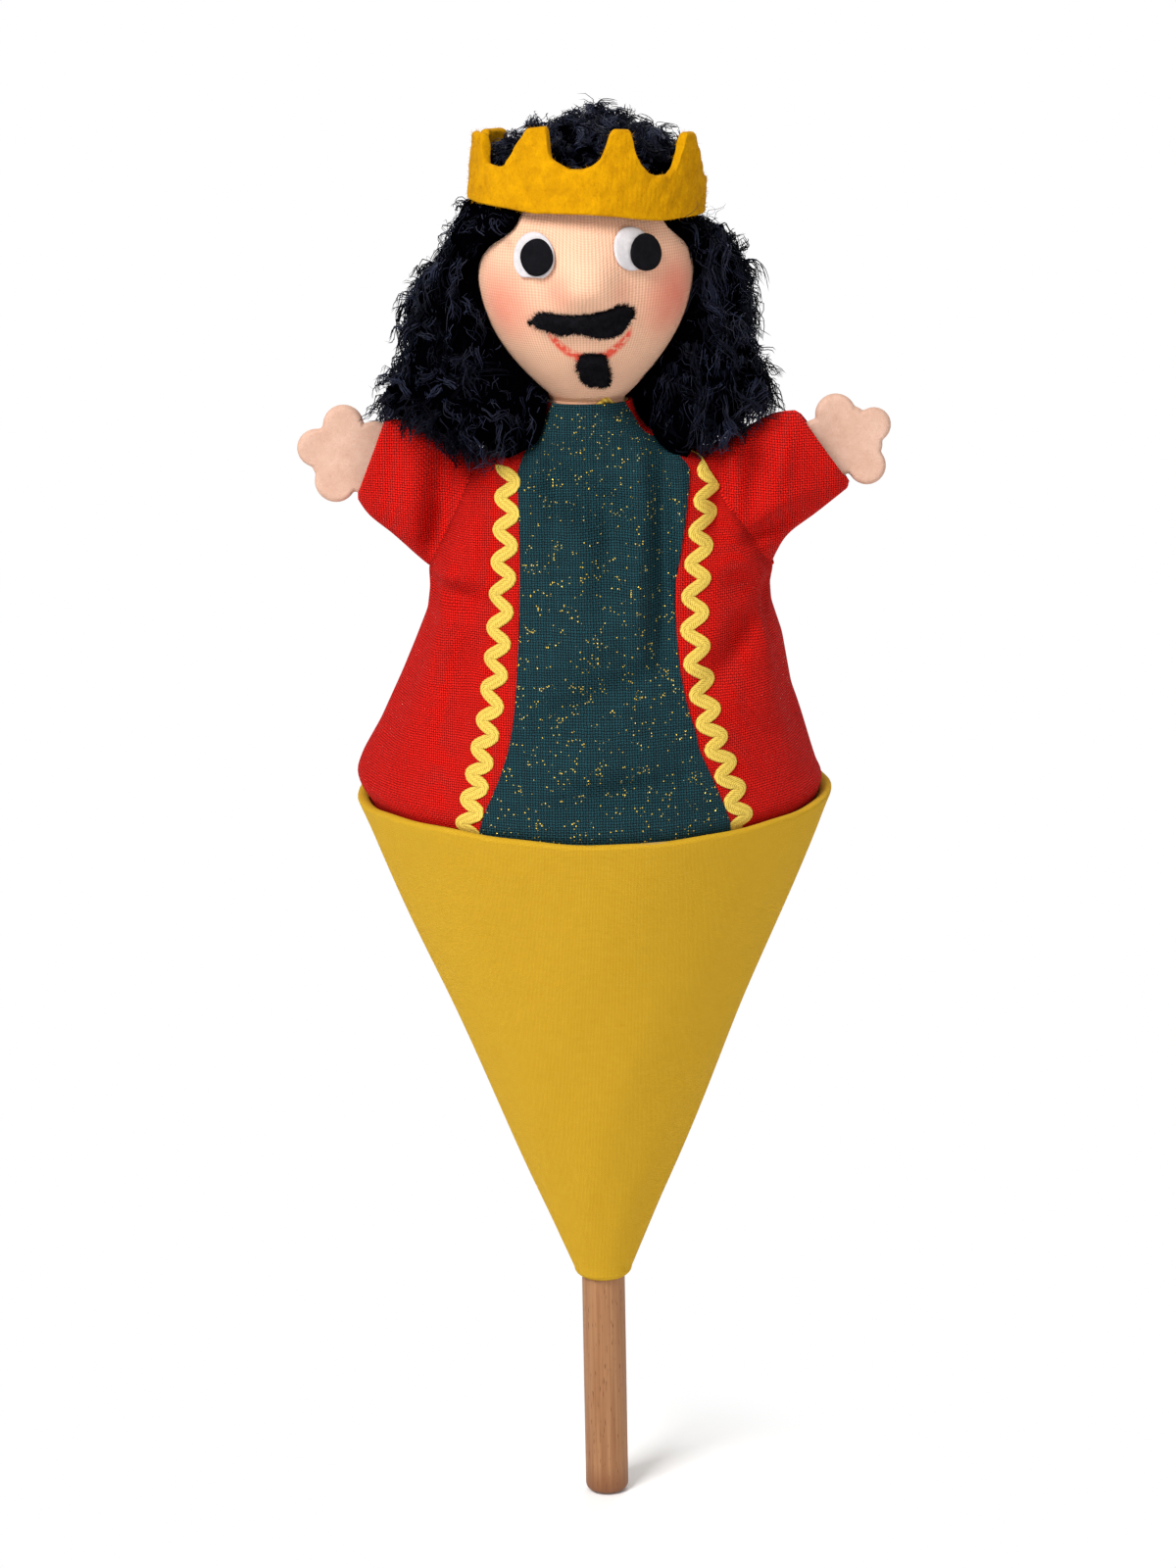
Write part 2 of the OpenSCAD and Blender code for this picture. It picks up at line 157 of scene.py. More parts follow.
def soften(values, rounds):
    """Averages neighbours round a ring again and again, which rounds off corners."""
    for _ in range(rounds):
        values = (np.roll(values, 1) + 2 * values + np.roll(values, -1)) / 4
    return values


def add_object(name, data):
    """A new object in the scene."""
    made = bpy.data.objects.new(name, data)
    bpy.context.scene.collection.objects.link(made)
    return made


def wander(points, size, seed):
    """A smooth random field from -1 to 1 at points; size is the length of its swells."""
    rng = np.random.default_rng(seed)
    total = np.zeros(points.shape[:-1])
    for _ in range(9):
        way = unit(rng.normal(size=3)) * (2 * math.pi / size) * rng.uniform(0.6, 1.6)
        total += np.sin(points @ way + rng.uniform(0, 2 * math.pi))
    return total / 4.5


def piece(name, points, faces, material, marks=None, sharp=50):
    """A mesh object from points and faces. marks holds more values of each point, by name."""
    points = np.asarray(points, float).reshape(-1, 3)
    faces = np.asarray(faces, int)
    mesh = bpy.data.meshes.new(name)
    mesh.vertices.add(len(points))
    mesh.vertices.foreach_set("co", (points * MM).ravel())
    mesh.loops.add(faces.size)
    mesh.loops.foreach_set("vertex_index", faces.ravel())
    mesh.polygons.add(len(faces))
    mesh.polygons.foreach_set("loop_start", np.arange(len(faces)) * faces.shape[1])
    mesh.update(calc_edges=True)
    mesh.polygons.foreach_set("use_smooth", np.ones(len(faces), bool))
    if sharp:
        mesh.set_sharp_from_angle(angle=math.radians(sharp))
    for mark, values in {"rest": points, **(marks or {})}.items():
        values = np.asarray(values, float)
        kind, field = ("FLOAT", "value") if values.ndim == 1 else ("FLOAT_VECTOR", "vector")
        mesh.attributes.new(mark, kind, "POINT").data.foreach_set(field, values.ravel())
    mesh.materials.append(material)
    made = add_object(name, mesh)
    return made


def sheet_faces(rows, cols, ring=False):
    """Faces of one layer. Rows go up, and columns go to the right seen from outside."""
    i, j = np.meshgrid(np.arange(rows - 1), np.arange(cols if ring else cols - 1), indexing="ij")
    i, j = i.ravel(), j.ravel()
    k = (j + 1) % cols
    return np.stack([i * cols + j, i * cols + k, (i + 1) * cols + k, (i + 1) * cols + j], axis=1)


def slab_faces(rows, cols, ring=False):
    """Faces of a closed solid whose outer grid comes first and whose inner grid follows."""
    skin = sheet_faces(rows, cols, ring)
    back = rows * cols
    parts = [skin, skin[:, ::-1] + back]
    j = np.arange(cols if ring else cols - 1)
    k = (j + 1) % cols
    top = (rows - 1) * cols
    parts.append(np.stack([j, j + back, k + back, k], axis=1))
    parts.append(np.stack([top + j, top + k, top + k + back, top + j + back], axis=1))
    if not ring:
        i = np.arange(rows - 1) * cols
        e = i + cols - 1
        parts.append(np.stack([i, i + cols, i + cols + back, i + back], axis=1))
        parts.append(np.stack([e, e + back, e + cols + back, e + cols], axis=1))
    return np.concatenate(parts)


def outward(grid, ring=False):
    """Unit normals of a grid of points."""
    if ring:
        wide = np.concatenate([grid[:, -1:], grid, grid[:, :1]], axis=1)
        across = np.gradient(wide, axis=1)[:, 1:-1]
    else:
        across = np.gradient(grid, axis=1)
    return unit(np.cross(across, np.gradient(grid, axis=0)))


def lengths(grid, axis):
    """Length along a grid's rows or columns, as it would lie flat."""
    steps = np.linalg.norm(np.diff(grid, axis=axis), axis=-1)
    start = np.zeros_like(np.take(steps, [0], axis=axis))
    return np.cumsum(np.concatenate([start, steps], axis=axis), axis=axis)


def cloth(name, grid, flat, thick, material, ring=False):
    """A closed piece of cloth whose outer face is the grid. flat is each point's place on the flat cloth."""
    inner = grid - outward(grid, ring) * thick
    rows, cols = grid.shape[:2]
    return piece(name, both_faces(grid, inner), slab_faces(rows, cols, ring), material,
                 {"flat": both_faces(flat, flat)})


def declare_cloth(obj):
    """Works out a sheet's cut size: how far its points reach when they are laid flat."""
    marks = obj.data.attributes["flat"].data
    flat = np.zeros(3 * len(marks))
    marks.foreach_get("vector", flat)
    width, length = np.ptp(flat.reshape(-1, 3), axis=0)[:2] * MM
    width, length = max(width, 0.01), max(length, 0.01)


# Materials

def colour(text):
    """An sRGB hex colour as linear red, green, blue and alpha."""
    parts = [int(text[i:i + 2], 16) / 255 for i in (1, 3, 5)]
    return [c / 12.92 if c <= 0.04045 else ((c + 0.055) / 1.055) ** 2.4 for c in parts] + [1]


def put(tree, kind, links=None, out=0, **settings):
    """Adds a node with its settings and links, and returns one of its outputs."""
    node = tree.nodes.new("ShaderNode" + kind)
    for name, value in settings.items():
        setattr(node, name, value)
    for name, value in (links or {}).items():
        if isinstance(value, bpy.types.NodeSocket):
            tree.links.new(value, node.inputs[name])
        else:
            node.inputs[name].default_value = value
    return node.outputs[out] if len(node.outputs) else node


def new_material(name, surface):
    """A material with one Principled shader, whose own sockets hold the values of surface."""
    material = bpy.data.materials.new(name)
    material.use_nodes = True
    shader = material.node_tree.nodes["Principled BSDF"]
    for socket, value in surface.items():
        shader.inputs[socket].default_value = value
    return material, material.node_tree, shader


def dress(tree, shader, base=None, height=None, bump_mm=0.1, roughness=None, metallic=None):
    """Links a finish's colour, relief, roughness and metal to its shader."""
    if base is not None:
        tree.links.new(base, shader.inputs["Base Color"])
    if height is not None:
        relief = put(tree, "Bump", {"Height": height, "Distance": bump_mm * MM, "Strength": 1.0})
        tree.links.new(relief, shader.inputs["Normal"])
    if roughness is not None:
        tree.links.new(roughness, shader.inputs["Roughness"])
    if metallic is not None:
        tree.links.new(metallic, shader.inputs["Metallic"])


# A wave texture's bands repeat every 0.31416 of its scaled coordinate
BAND = 0.314159
# How far threads stray from their place, as a share of their spacing
UNEVEN = 0.35


def weave(tree, pitch):
    """Thread relief of a plain weave on the flat cloth, 0 in the gaps and 1 on a thread's crown."""
    flat = put(tree, "Attribute", attribute_name="flat", out="Vector")
    drift = put(tree, "TexNoise", {"Vector": flat, "Scale": 0.5, "Detail": 2.0}, out="Color")
    moved = put(tree, "VectorMath", {0: drift, 1: (UNEVEN * pitch * 2,) * 3, 2: flat},
                operation="MULTIPLY_ADD")
    warp = put(tree, "TexWave", {"Vector": moved, "Scale": BAND / pitch}, out="Fac", bands_direction="X")
    weft = put(tree, "TexWave", {"Vector": moved, "Scale": BAND / pitch}, out="Fac", bands_direction="Y")
    over = put(tree, "TexChecker", {"Vector": moved, "Scale": 1 / pitch}, out="Fac")
    return put(tree, "Mix", {0: over, 2: warp, 3: weft}), flat


def thread_shade(tree, flat, pitch):
    """Uneven dyeing and thickness of single threads, from 0 to 1."""
    along = put(tree, "VectorMath", {0: flat, 1: (1 / pitch, 0.06 / pitch, 1)}, operation="MULTIPLY")
    across = put(tree, "VectorMath", {0: flat, 1: (0.06 / pitch, 1 / pitch, 1)}, operation="MULTIPLY")
    first = put(tree, "TexNoise", {"Vector": along, "Scale": 0.7, "Detail": 1.0}, out="Fac")
    second = put(tree, "TexNoise", {"Vector": across, "Scale": 0.7, "Detail": 1.0}, out="Fac")
    return put(tree, "Mix", {0: 0.5, 2: first, 3: second})


def woven_cotton(name, thread, gap, pale, pitch, bump_mm, sheen):
    """Plain-woven dyed cotton: matt, with dark pinholes between the threads and a dusty sheen."""
    material, tree, shader = new_material(name, {
        "Roughness": 0.9, "Specular IOR Level": 0.08, "Sheen Weight": sheen, "Sheen Roughness": 0.5,
        "Sheen Tint": colour(pale)})
    height, flat = weave(tree, pitch)
    shade = thread_shade(tree, flat, pitch)
    lifted = put(tree, "MapRange", {"Value": height, "From Min": 0.0, "From Max": 0.75})
    dyed = put(tree, "Mix", {0: shade, 6: colour(thread), 7: colour(pale)}, out=2, data_type="RGBA")
    base = put(tree, "Mix", {0: lifted, 6: colour(gap), 7: dyed}, out=2, data_type="RGBA")
    dress(tree, shader, base, height, bump_mm)
    return material


def red_cotton():
    # Threads lie 0.6 mm apart, as counted in the photograph
    return woven_cotton("red plain-woven cotton", "#dc140d", "#5c0302", "#f0241b", 0.6, 0.26, 0.015)


def yellow_cotton():
    # The cone's cloth is finer: its threads lie 0.34 mm apart
    return woven_cotton("yellow fine cotton", "#cc9d19", "#a67a0e", "#ddb439", 0.34, 0.07, 0.3)


def green_lame():
    """Dark green open weave with gold foil in some threads, which glitters as single specks."""
    # Threads lie 0.66 mm apart. At most one fleck lies in each 0.45 mm of cloth, and it is cut off
    # at 0.38 of that
    pitch, spacing, fleck_size = 0.66, 0.45, 0.38
    material, tree, shader = new_material("green lurex weave", {
        "Specular IOR Level": 0.12, "Sheen Weight": 0.02, "Sheen Roughness": 0.4,
        "Sheen Tint": colour("#4f8186")})
    height, flat = weave(tree, pitch)
    shade = thread_shade(tree, flat, pitch)
    lifted = put(tree, "MapRange", {"Value": height, "From Min": 0.15, "From Max": 0.75})
    dyed = put(tree, "Mix", {0: shade, 6: colour("#0a262c"), 7: colour("#22525b")}, out=2, data_type="RGBA")
    cloth_colour = put(tree, "Mix", {0: lifted, 6: colour("#03080b"), 7: dyed}, out=2, data_type="RGBA")
    cells = put(tree, "TexVoronoi", {"Vector": flat, "Scale": 1 / spacing, "Randomness": 0.9}).node
    cell, near = cells.outputs["Color"], cells.outputs["Distance"]
    chance = put(tree, "SeparateColor", {"Color": cell}, out="Red")
    crowd = put(tree, "TexNoise", {"Vector": flat, "Scale": 0.3, "Detail": 2.0}, out="Fac")
    limit = put(tree, "MapRange", {"Value": crowd, "From Min": 0.46, "From Max": 0.66, "To Min": 0.996,
                                   "To Max": 0.78})
    lucky = put(tree, "Math", {0: chance, 1: limit}, operation="GREATER_THAN")
    dot = put(tree, "Math", {0: near, 1: fleck_size}, operation="LESS_THAN")
    fleck = put(tree, "Math", {0: lucky, 1: dot}, operation="MULTIPLY")
    base = put(tree, "Mix", {0: fleck, 6: cloth_colour, 7: colour("#e8c44c")}, out=2, data_type="RGBA")
    rough = put(tree, "Mix", {0: fleck, 2: 0.72, 3: 0.3})
    metal = put(tree, "Math", {0: fleck, 1: 0.35}, operation="MULTIPLY")
    dress(tree, shader, base, height, 0.18, rough, metal)
    return material


def felt(name, low, high, sheen, mottle=3.5):
    """Pressed felt: matt, cloudy where the fibres lie thick or thin, with fine crossed fibres.
    mottle is the size of the clouds in mm."""
    material, tree, shader = new_material(name, {
        "Roughness": 0.95, "Specular IOR Level": 0.08, "Sheen Weight": sheen, "Sheen Roughness": 0.6,
        "Sheen Tint": colour(high)})
    rest = put(tree, "Attribute", attribute_name="rest", out="Vector")
    cloud = put(tree, "TexNoise", {"Vector": rest, "Scale": 1 / mottle, "Detail": 5.0, "Roughness": 0.65},
                out="Fac")
    # Fibres are about 0.03 mm thick; they are drawn 0.25 mm wide so that they show
    fibre = put(tree, "TexNoise", {"Vector": rest, "Scale": 1.9, "Detail": 4.0, "Distortion": 1.6}, out="Fac")
    mixed = put(tree, "Mix", {0: 0.4, 2: cloud, 3: fibre})
    depth = put(tree, "MapRange", {"Value": mixed, "From Min": 0.35, "From Max": 0.65})
    base = put(tree, "Mix", {0: depth, 6: colour(low), 7: colour(high)}, out=2, data_type="RGBA")
    dress(tree, shader, base, fibre, 0.12)
    return material


def knitted_jersey():
    """Fine knitted jersey: stretched ribs that run to the neck, with rubbed-on rouge on the cheeks, painted
    shade beside the nose and a pen mouth.
    """
    material, tree, shader = new_material("flesh knitted jersey", {
        "Roughness": 0.82, "Specular IOR Level": 0.2, "Sheen Weight": 0.06, "Sheen Roughness": 0.5,
        "Sheen Tint": colour("#ffe2cc"), "Subsurface Weight": 0.08, "Subsurface Scale": 0.002,
        "Subsurface Radius": (1.0, 0.5, 0.3)})
    flat = put(tree, "Attribute", attribute_name="flat", out="Vector")
    rest = put(tree, "Attribute", attribute_name="rest", out="Vector")
    # Ribs lie 0.9 mm apart on the widest part of the head, and rows of stitches 0.7 mm apart
    ribs = put(tree, "TexWave", {"Vector": flat, "Scale": BAND / 0.9, "Distortion": 1.4,
                                 "Detail Scale": 0.6}, out="Fac", bands_direction="X")
    rows = put(tree, "TexWave", {"Vector": flat, "Scale": BAND / 0.7, "Distortion": 1.0,
                                 "Detail Scale": 0.5}, out="Fac", bands_direction="Y")
    stitch = put(tree, "Mix", {0: 0.4, 2: ribs, 3: rows})
    place = put(tree, "SeparateXYZ", {"Vector": rest}).node
    # Soft round patches, of rouge on the cheeks and of painted shade beside the nose: middle, reach and
    # strength
    blush_and_nose_shade = None
    for centre, reach, strength in (((-21, -18, 310.5), 16, 0.5), ((22.5, -16, 312), 17, 0.62),
                                    # The two patches beside the nose are painted shade at the nose's sides
                                    ((-7.5, -29, 314.5), 8, 0.34), ((10, -28, 314), 7, 0.2)):
        away = put(tree, "VectorMath", {0: rest, 1: centre}, out="Value", operation="DISTANCE")
        patch = put(tree, "MapRange", {"Value": away, "From Min": 0.0, "From Max": reach, "To Min": strength,
                                       "To Max": 0.0}, interpolation_type="SMOOTHERSTEP")
        blush_and_nose_shade = patch if blush_and_nose_shade is None else put(tree, "Math", {0: blush_and_nose_shade, 1: patch}, operation="ADD")
    uneven = put(tree, "TexNoise", {"Vector": rest, "Scale": 0.22, "Detail": 3.0}, out="Fac")
    uneven = put(tree, "MapRange", {"Value": uneven, "To Min": 0.7, "To Max": 1.3})
    blush_and_nose_shade = put(tree, "Math", {0: blush_and_nose_shade, 1: uneven}, operation="MULTIPLY")
    thread = put(tree, "Mix", {0: stitch, 6: colour("#d29f82"), 7: colour("#f4c4a5")}, out=2,
                 data_type="RGBA")
    pink = put(tree, "Mix", {0: blush_and_nose_shade, 6: thread, 7: colour("#d8604f")}, out=2, data_type="RGBA")
    # Mouth: a shallow bow drawn with a red pen, whose height is 297.8 + 0.068 (x - 0.9) squared
    mouth_x, mouth_z, bow, half_line = 0.9, 297.8, 0.068, 1.35
    across = put(tree, "Math", {0: place.outputs["X"], 1: mouth_x}, operation="SUBTRACT")
    square = put(tree, "Math", {0: across, 1: across}, operation="MULTIPLY")
    line = put(tree, "Math", {0: square, 1: bow, 2: mouth_z}, operation="MULTIPLY_ADD")
    off = put(tree, "Math", {0: place.outputs["Z"], 1: line}, operation="SUBTRACT")
    off = put(tree, "Math", {0: off}, operation="ABSOLUTE")
    ink = put(tree, "MapRange", {"Value": off, "From Min": half_line * 0.5, "From Max": half_line * 1.3,
                                 "To Min": 1.0, "To Max": 0.0})
    reach = put(tree, "Math", {0: across}, operation="ABSOLUTE")
    reach = put(tree, "MapRange", {"Value": reach, "From Min": 9.2, "From Max": 10.4, "To Min": 1.0,
                                   "To Max": 0.0})
    front = put(tree, "Math", {0: place.outputs["Y"], 1: 0.0}, operation="LESS_THAN")
    blot = put(tree, "TexNoise", {"Vector": rest, "Scale": 0.75, "Detail": 3.0}, out="Fac")
    blot = put(tree, "MapRange", {"Value": blot, "From Min": 0.34, "From Max": 0.5, "To Min": 0.15,
                                  "To Max": 0.9})
    for share in (reach, front, blot):
        ink = put(tree, "Math", {0: ink, 1: share}, operation="MULTIPLY")
    base = put(tree, "Mix", {0: ink, 6: pink, 7: colour("#e03a26")}, out=2, data_type="RGBA")
    dress(tree, shader, base, stitch, 0.14)
    return material


def curly_plush():
    """Curled plush pile: navy-black acrylic hairs, with a cool shine along each hair."""
    material, tree, shader = new_material("navy curly plush", {"Roughness": 0.5})
    rest = put(tree, "Attribute", attribute_name="rest", out="Vector")
    tone = put(tree, "Attribute", attribute_name="tone", out="Fac")
    cloud = put(tree, "TexNoise", {"Vector": rest, "Scale": 0.16, "Detail": 3.0}, out="Fac")
    cloud = put(tree, "MapRange", {"Value": cloud, "From Min": 0.3, "From Max": 0.7, "To Min": 0.4,
                                   "To Max": 1.3})
    mixed = put(tree, "Math", {0: tone, 1: cloud}, operation="MULTIPLY")
    # The ground, with tone 0, gets the near-black colour: painted shade deep in the pile
    base = put(tree, "Mix", {0: mixed, 6: colour("#010102"), 7: colour("#1d2239")}, out=2, data_type="RGBA")
    # The ground between the hairs is dull
    shine = put(tree, "Math", {0: tone, 1: 0.3}, operation="MULTIPLY")
    tree.links.new(shine, shader.inputs["Specular IOR Level"])
    dress(tree, shader, base)
    return material


def ricrac_braid():
    """Cotton ric-rac: plaited yarns that slant to both edges of the band."""
    material, tree, shader = new_material("yellow cotton braid", {
        "Roughness": 0.75, "Specular IOR Level": 0.15, "Sheen Weight": 0.04, "Sheen Roughness": 0.4,
        "Sheen Tint": colour("#f5d878")})
    flat = put(tree, "Attribute", attribute_name="flat", out="Vector")
    where = put(tree, "SeparateXYZ", {"Vector": flat}).node
    slant = put(tree, "Math", {0: where.outputs["X"]}, operation="ABSOLUTE")
    along = put(tree, "Math", {0: slant, 1: 1.1, 2: where.outputs["Y"]}, operation="MULTIPLY_ADD")
    # A yarn comes round every 0.6 mm
    turn = put(tree, "Math", {0: along, 1: 2 * math.pi / 0.6}, operation="MULTIPLY")
    yarn = put(tree, "Math", {0: turn}, operation="SINE")
    yarn = put(tree, "MapRange", {"Value": yarn, "From Min": -1.0, "From Max": 1.0})
    fuzz = put(tree, "TexNoise", {"Vector": flat, "Scale": 2.2, "Detail": 3.0}, out="Fac")
    # Three cords run along the band, 1.1 mm apart
    lane = put(tree, "Math", {0: where.outputs["X"], 1: 2 * math.pi / 1.1}, operation="MULTIPLY")
    lane = put(tree, "Math", {0: lane}, operation="COSINE")
    lane = put(tree, "MapRange", {"Value": lane, "From Min": -1.0, "From Max": 1.0})
    plait = put(tree, "Mix", {0: 0.3, 2: yarn, 3: lane})
    height = put(tree, "Mix", {0: 0.5, 2: plait, 3: fuzz})
    depth = put(tree, "MapRange", {"Value": height, "From Min": 0.2, "From Max": 0.7})
    base = put(tree, "Mix", {0: depth, 6: colour("#a4832a"), 7: colour("#e6c75a")}, out=2, data_type="RGBA")
    dress(tree, shader, base, height, 0.2)
    return material


def turned_beech():
    """Sanded beech dowel, unvarnished: pink-brown, with straight fine grain and short dark pores."""
    material, tree, shader = new_material("sanded beech", {"Roughness": 0.58, "Specular IOR Level": 0.35})
    place = put(tree, "TexCoord", out="Object")
    # Grain lines are about 0.7 mm apart and 40 mm long, and the pores 0.25 mm wide and 3 mm long
    long_grain = put(tree, "VectorMath", {0: place, 1: (1400, 1400, 26)}, operation="MULTIPLY")
    pore_place = put(tree, "VectorMath", {0: place, 1: (2600, 2600, 330)}, operation="MULTIPLY")
    grain = put(tree, "TexNoise", {"Vector": long_grain, "Scale": 1.0, "Detail": 4.0, "Roughness": 0.6},
                out="Fac")
    pore = put(tree, "TexNoise", {"Vector": pore_place, "Scale": 1.0, "Detail": 1.0}, out="Fac")
    pore = put(tree, "MapRange", {"Value": pore, "From Min": 0.66, "From Max": 0.74})
    band = put(tree, "MapRange", {"Value": grain, "From Min": 0.3, "From Max": 0.7})
    wood = put(tree, "Mix", {0: band, 6: colour("#875734"), 7: colour("#a57851")}, out=2, data_type="RGBA")
    wood = put(tree, "Mix", {0: pore, 6: wood, 7: colour("#6c3e21")}, out=2, data_type="RGBA")
    # The rounded end shows end grain and is darker with handling
    height = put(tree, "SeparateXYZ", {"Vector": place}, out="Z")
    worn = put(tree, "MapRange", {"Value": height, "From Min": 0.001, "From Max": 0.009, "To Min": 0.75,
                                  "To Max": 0.0}, interpolation_type="SMOOTHSTEP")
    base = put(tree, "Mix", {0: worn, 6: wood, 7: colour("#744527")}, out=2, data_type="RGBA")
    dress(tree, shader, base, grain, 0.08)
    return material


def grey_board():
    """Rolled grey-brown board: dull, with flecks of pulp."""
    material, tree, shader = new_material("rolled greyboard", {"Roughness": 0.9, "Specular IOR Level": 0.2})
    place = put(tree, "TexCoord", out="Object")
    pulp = put(tree, "TexNoise", {"Vector": place, "Scale": 900.0, "Detail": 4.0}, out="Fac")
    base = put(tree, "Mix", {0: pulp, 6: colour("#948468"), 7: colour("#c4b696")}, out=2, data_type="RGBA")
    dress(tree, shader, base, pulp, 0.04)
    return material


def loose_wadding():
    """Polyester wadding: white, soft and cloudy."""
    material, tree, shader = new_material("polyester wadding", {"Roughness": 1.0, "Sheen Weight": 0.3})
    place = put(tree, "TexCoord", out="Object")
    fluff = put(tree, "TexNoise", {"Vector": place, "Scale": 500.0, "Detail": 5.0}, out="Fac")
    base = put(tree, "Mix", {0: fluff, 6: colour("#d8d2c4"), 7: colour("#f4f0e6")}, out=2, data_type="RGBA")
    dress(tree, shader, base, fluff, 0.3)
    return material


def twisted_thread():
    """Yellow sewing thread, wound in slanting turns."""
    material, tree, shader = new_material("yellow sewing thread", {"Roughness": 0.6, "Sheen Weight": 0.2})
    place = put(tree, "TexCoord", out="Object")
    # Its turns lie 1 mm apart
    turns = put(tree, "TexWave", {"Vector": place, "Scale": 314.0, "Distortion": 1.0}, out="Fac",
                bands_direction="DIAGONAL")
    base = put(tree, "Mix", {0: turns, 6: colour("#b8901c"), 7: colour("#ecc94a")}, out=2, data_type="RGBA")
    dress(tree, shader, base, turns, 0.1)
    return material


RED = red_cotton()
YELLOW_COTTON = yellow_cotton()
GREEN = green_lame()
CROWN_FELT = felt("yellow wool felt", "#ae7700", "#cf9500", 0.0, mottle=4.0)
WHITE_FELT = felt("white wool felt", "#bdb8bb", "#d6d1d2", 0.05)
BLACK_FELT = felt("black wool felt", "#060508", "#131216", 0.02)
HAND_FELT = felt("flesh wool felt", "#c09883", "#d2ae9b", 0.06, mottle=5.0)
JERSEY = knitted_jersey()
PLUSH = curly_plush()
BRAID = ricrac_braid()
BEECH = turned_beech()
BOARD = grey_board()
WADDING = loose_wadding()
THREAD = twisted_thread()


# Rod, card, guide and wadding: their shapes are right in the frame

def dress_node(name, material):
    """Gives a node of the frame its finish."""
    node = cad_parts[name]
    node.data.materials.clear()
    node.data.materials.append(material)


for part, finish in (("rod", BEECH), ("tip_guide", BEECH), ("cone_card", BOARD), ("head_core", WADDING),
                     ("nose_pad", WADDING)):
    dress_node(part, finish)


# Cone cover

# The rim is cut by hand: angle from the front, and height over the even rim
rim_wave = table([[-180, 0], [-95, 0.2], [-75, 0.4], [-55, 1.5], [-37, 1.7], [-15, 0.2], [0, -0.8],
                  [20, -0.5], [45, 0.3], [95, 0.2], [180, 0]], 8)


def cone_r(z, depth):
    """Radius of the cone at a height, a depth under the outer face."""
    return TIP_R + (z - WALL_Z) * SLOPE - depth / WALL_COS


def cone_cover():
    """The cloth runs from the rod's hole up the wall, over the rim, and down inside to its hem."""
    cols = 200
    hole = ROD_R + 0.45
    inside = 2 * COVER_T + CARD_T + 0.05
    turn = inside / 2
    quarter = np.radians(np.linspace(0, 90, 8))
    half = np.radians(np.linspace(0, 180, 13))
    angle = np.radians(np.arange(cols) * 360 / cols - 180)
    # From the edge of the rod's hole, round the tip
    rows = [round_rod(hole, angle, TIP_Z)]
    rows += [round_rod(TIP_R - TIP_ROUND * (1 - math.sin(a)), angle, TIP_Z + TIP_ROUND * (1 - math.cos(a)))
             for a in quarter]

    def wall(share, drop, depth):
        """A ring on the wall: its height is a share of the way to the rim, less a drop."""
        ripple = rim_wave(np.degrees(angle)) + 0.12 * np.sin(17 * angle)
        z = WALL_Z + (RIM_Z - WALL_Z) * share - drop + ripple * smooth((share - 0.85) / 0.15)
        sway = 0.22 * np.sin(4 * angle + 9 * share) + 0.16 * np.sin(9 * angle - 14 * share)
        r = cone_r(z, depth) + sway * smooth(share * 5) * smooth((1 - share) * 12)
        return round_rod(r, angle, z)

    # Up the wall, over the rim, down inside to the hem, and back up and down behind the outer layer
    rows += [wall(s, turn * smooth((s - 0.9) * 10), 0) for s in np.linspace(0.02, 1, 70)]
    rows += [wall(1, turn * (1 - math.sin(a)), turn * (1 - math.cos(a))) for a in half[1:-1]]
    rows += [wall(1, turn + d, inside) for d in np.linspace(0, HEM - turn, 8)]
    hem_row = len(rows) - 1
    rows += [wall(1, turn + d, inside - COVER_T) for d in np.linspace(HEM - turn, 0, 8)]
    rows += [wall(1, turn, COVER_T)]
    rows += [wall(s, turn, COVER_T) for s in np.linspace(0.97, 0.06, 30)]
    rows += [round_rod(hole, angle, TIP_Z + 1.6)]
    grid = np.array(rows)
    count = len(rows)
    closed = np.concatenate([grid, grid[:1]])
    faces = sheet_faces(count + 1, cols, ring=True) % (count * cols)
    reach = lengths(closed, 0)[:-1]
    # The inner face lies behind the outer one, on the same piece of cloth
    reach = np.minimum(reach, 2 * reach[hem_row] - reach)
    # The cloth is cut as a fan, so its place on the flat is an angle round a centre 15 mm under the hole
    fan = angle[None, :] * math.sin(math.atan(SLOPE))
    away = reach + 15
    flat = stack(away * np.sin(fan), away * np.cos(fan), 0)
    made = piece("cone_cover_cloth", grid, faces, YELLOW_COTTON,
                 {"flat": flat.reshape(-1, 3)})
    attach(made, "cone")
    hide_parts("cone_cover")
    declare_cloth(made)


cone_cover()


# Robe

# Half-widths of the body by height, from the photograph's outline; half-depths are guessed from them
half_left = table([[180, 53], [188.5, 56.3], [191, 58.2], [194, 59.2], [198, 57.6], [206, 52.9],
                   [218, 47.2], [226, 43.7], [234, 40.4], [240, 39.6], [245, 39.8], [272.5, 27],
                   [274.5, 20.5], [278, 14.6], [282, 11.8], [285.5, 10.9]], 1.2)
half_right = table([[180, 53], [188.5, 56.3], [191, 57], [193, 55.8], [197, 54.4], [205, 51.6],
                    [213, 48.8], [226, 46.6], [234, 44], [239, 43.7], [244, 44.8], [272.5, 27],
                    [274.5, 20.5], [278, 14.6], [282, 11.8], [285.5, 10.9]], 1.2)
half_depth = table([[180, 53], [188.5, 56.3], [191, 56.4], [198, 51], [213, 42.8], [226, 36.5], [244, 27.8],
                    [258, 21.5], [272.5, 14.6], [276, 12.8], [282, 11.3], [285.5, 10.9]], 2)
# The body's level outline goes from an ellipse, 2, towards a rectangle
squareness = table([[188, 2], [220, 2.3], [250, 3], [272, 3], [280, 2.2], [285.5, 2]], 4)
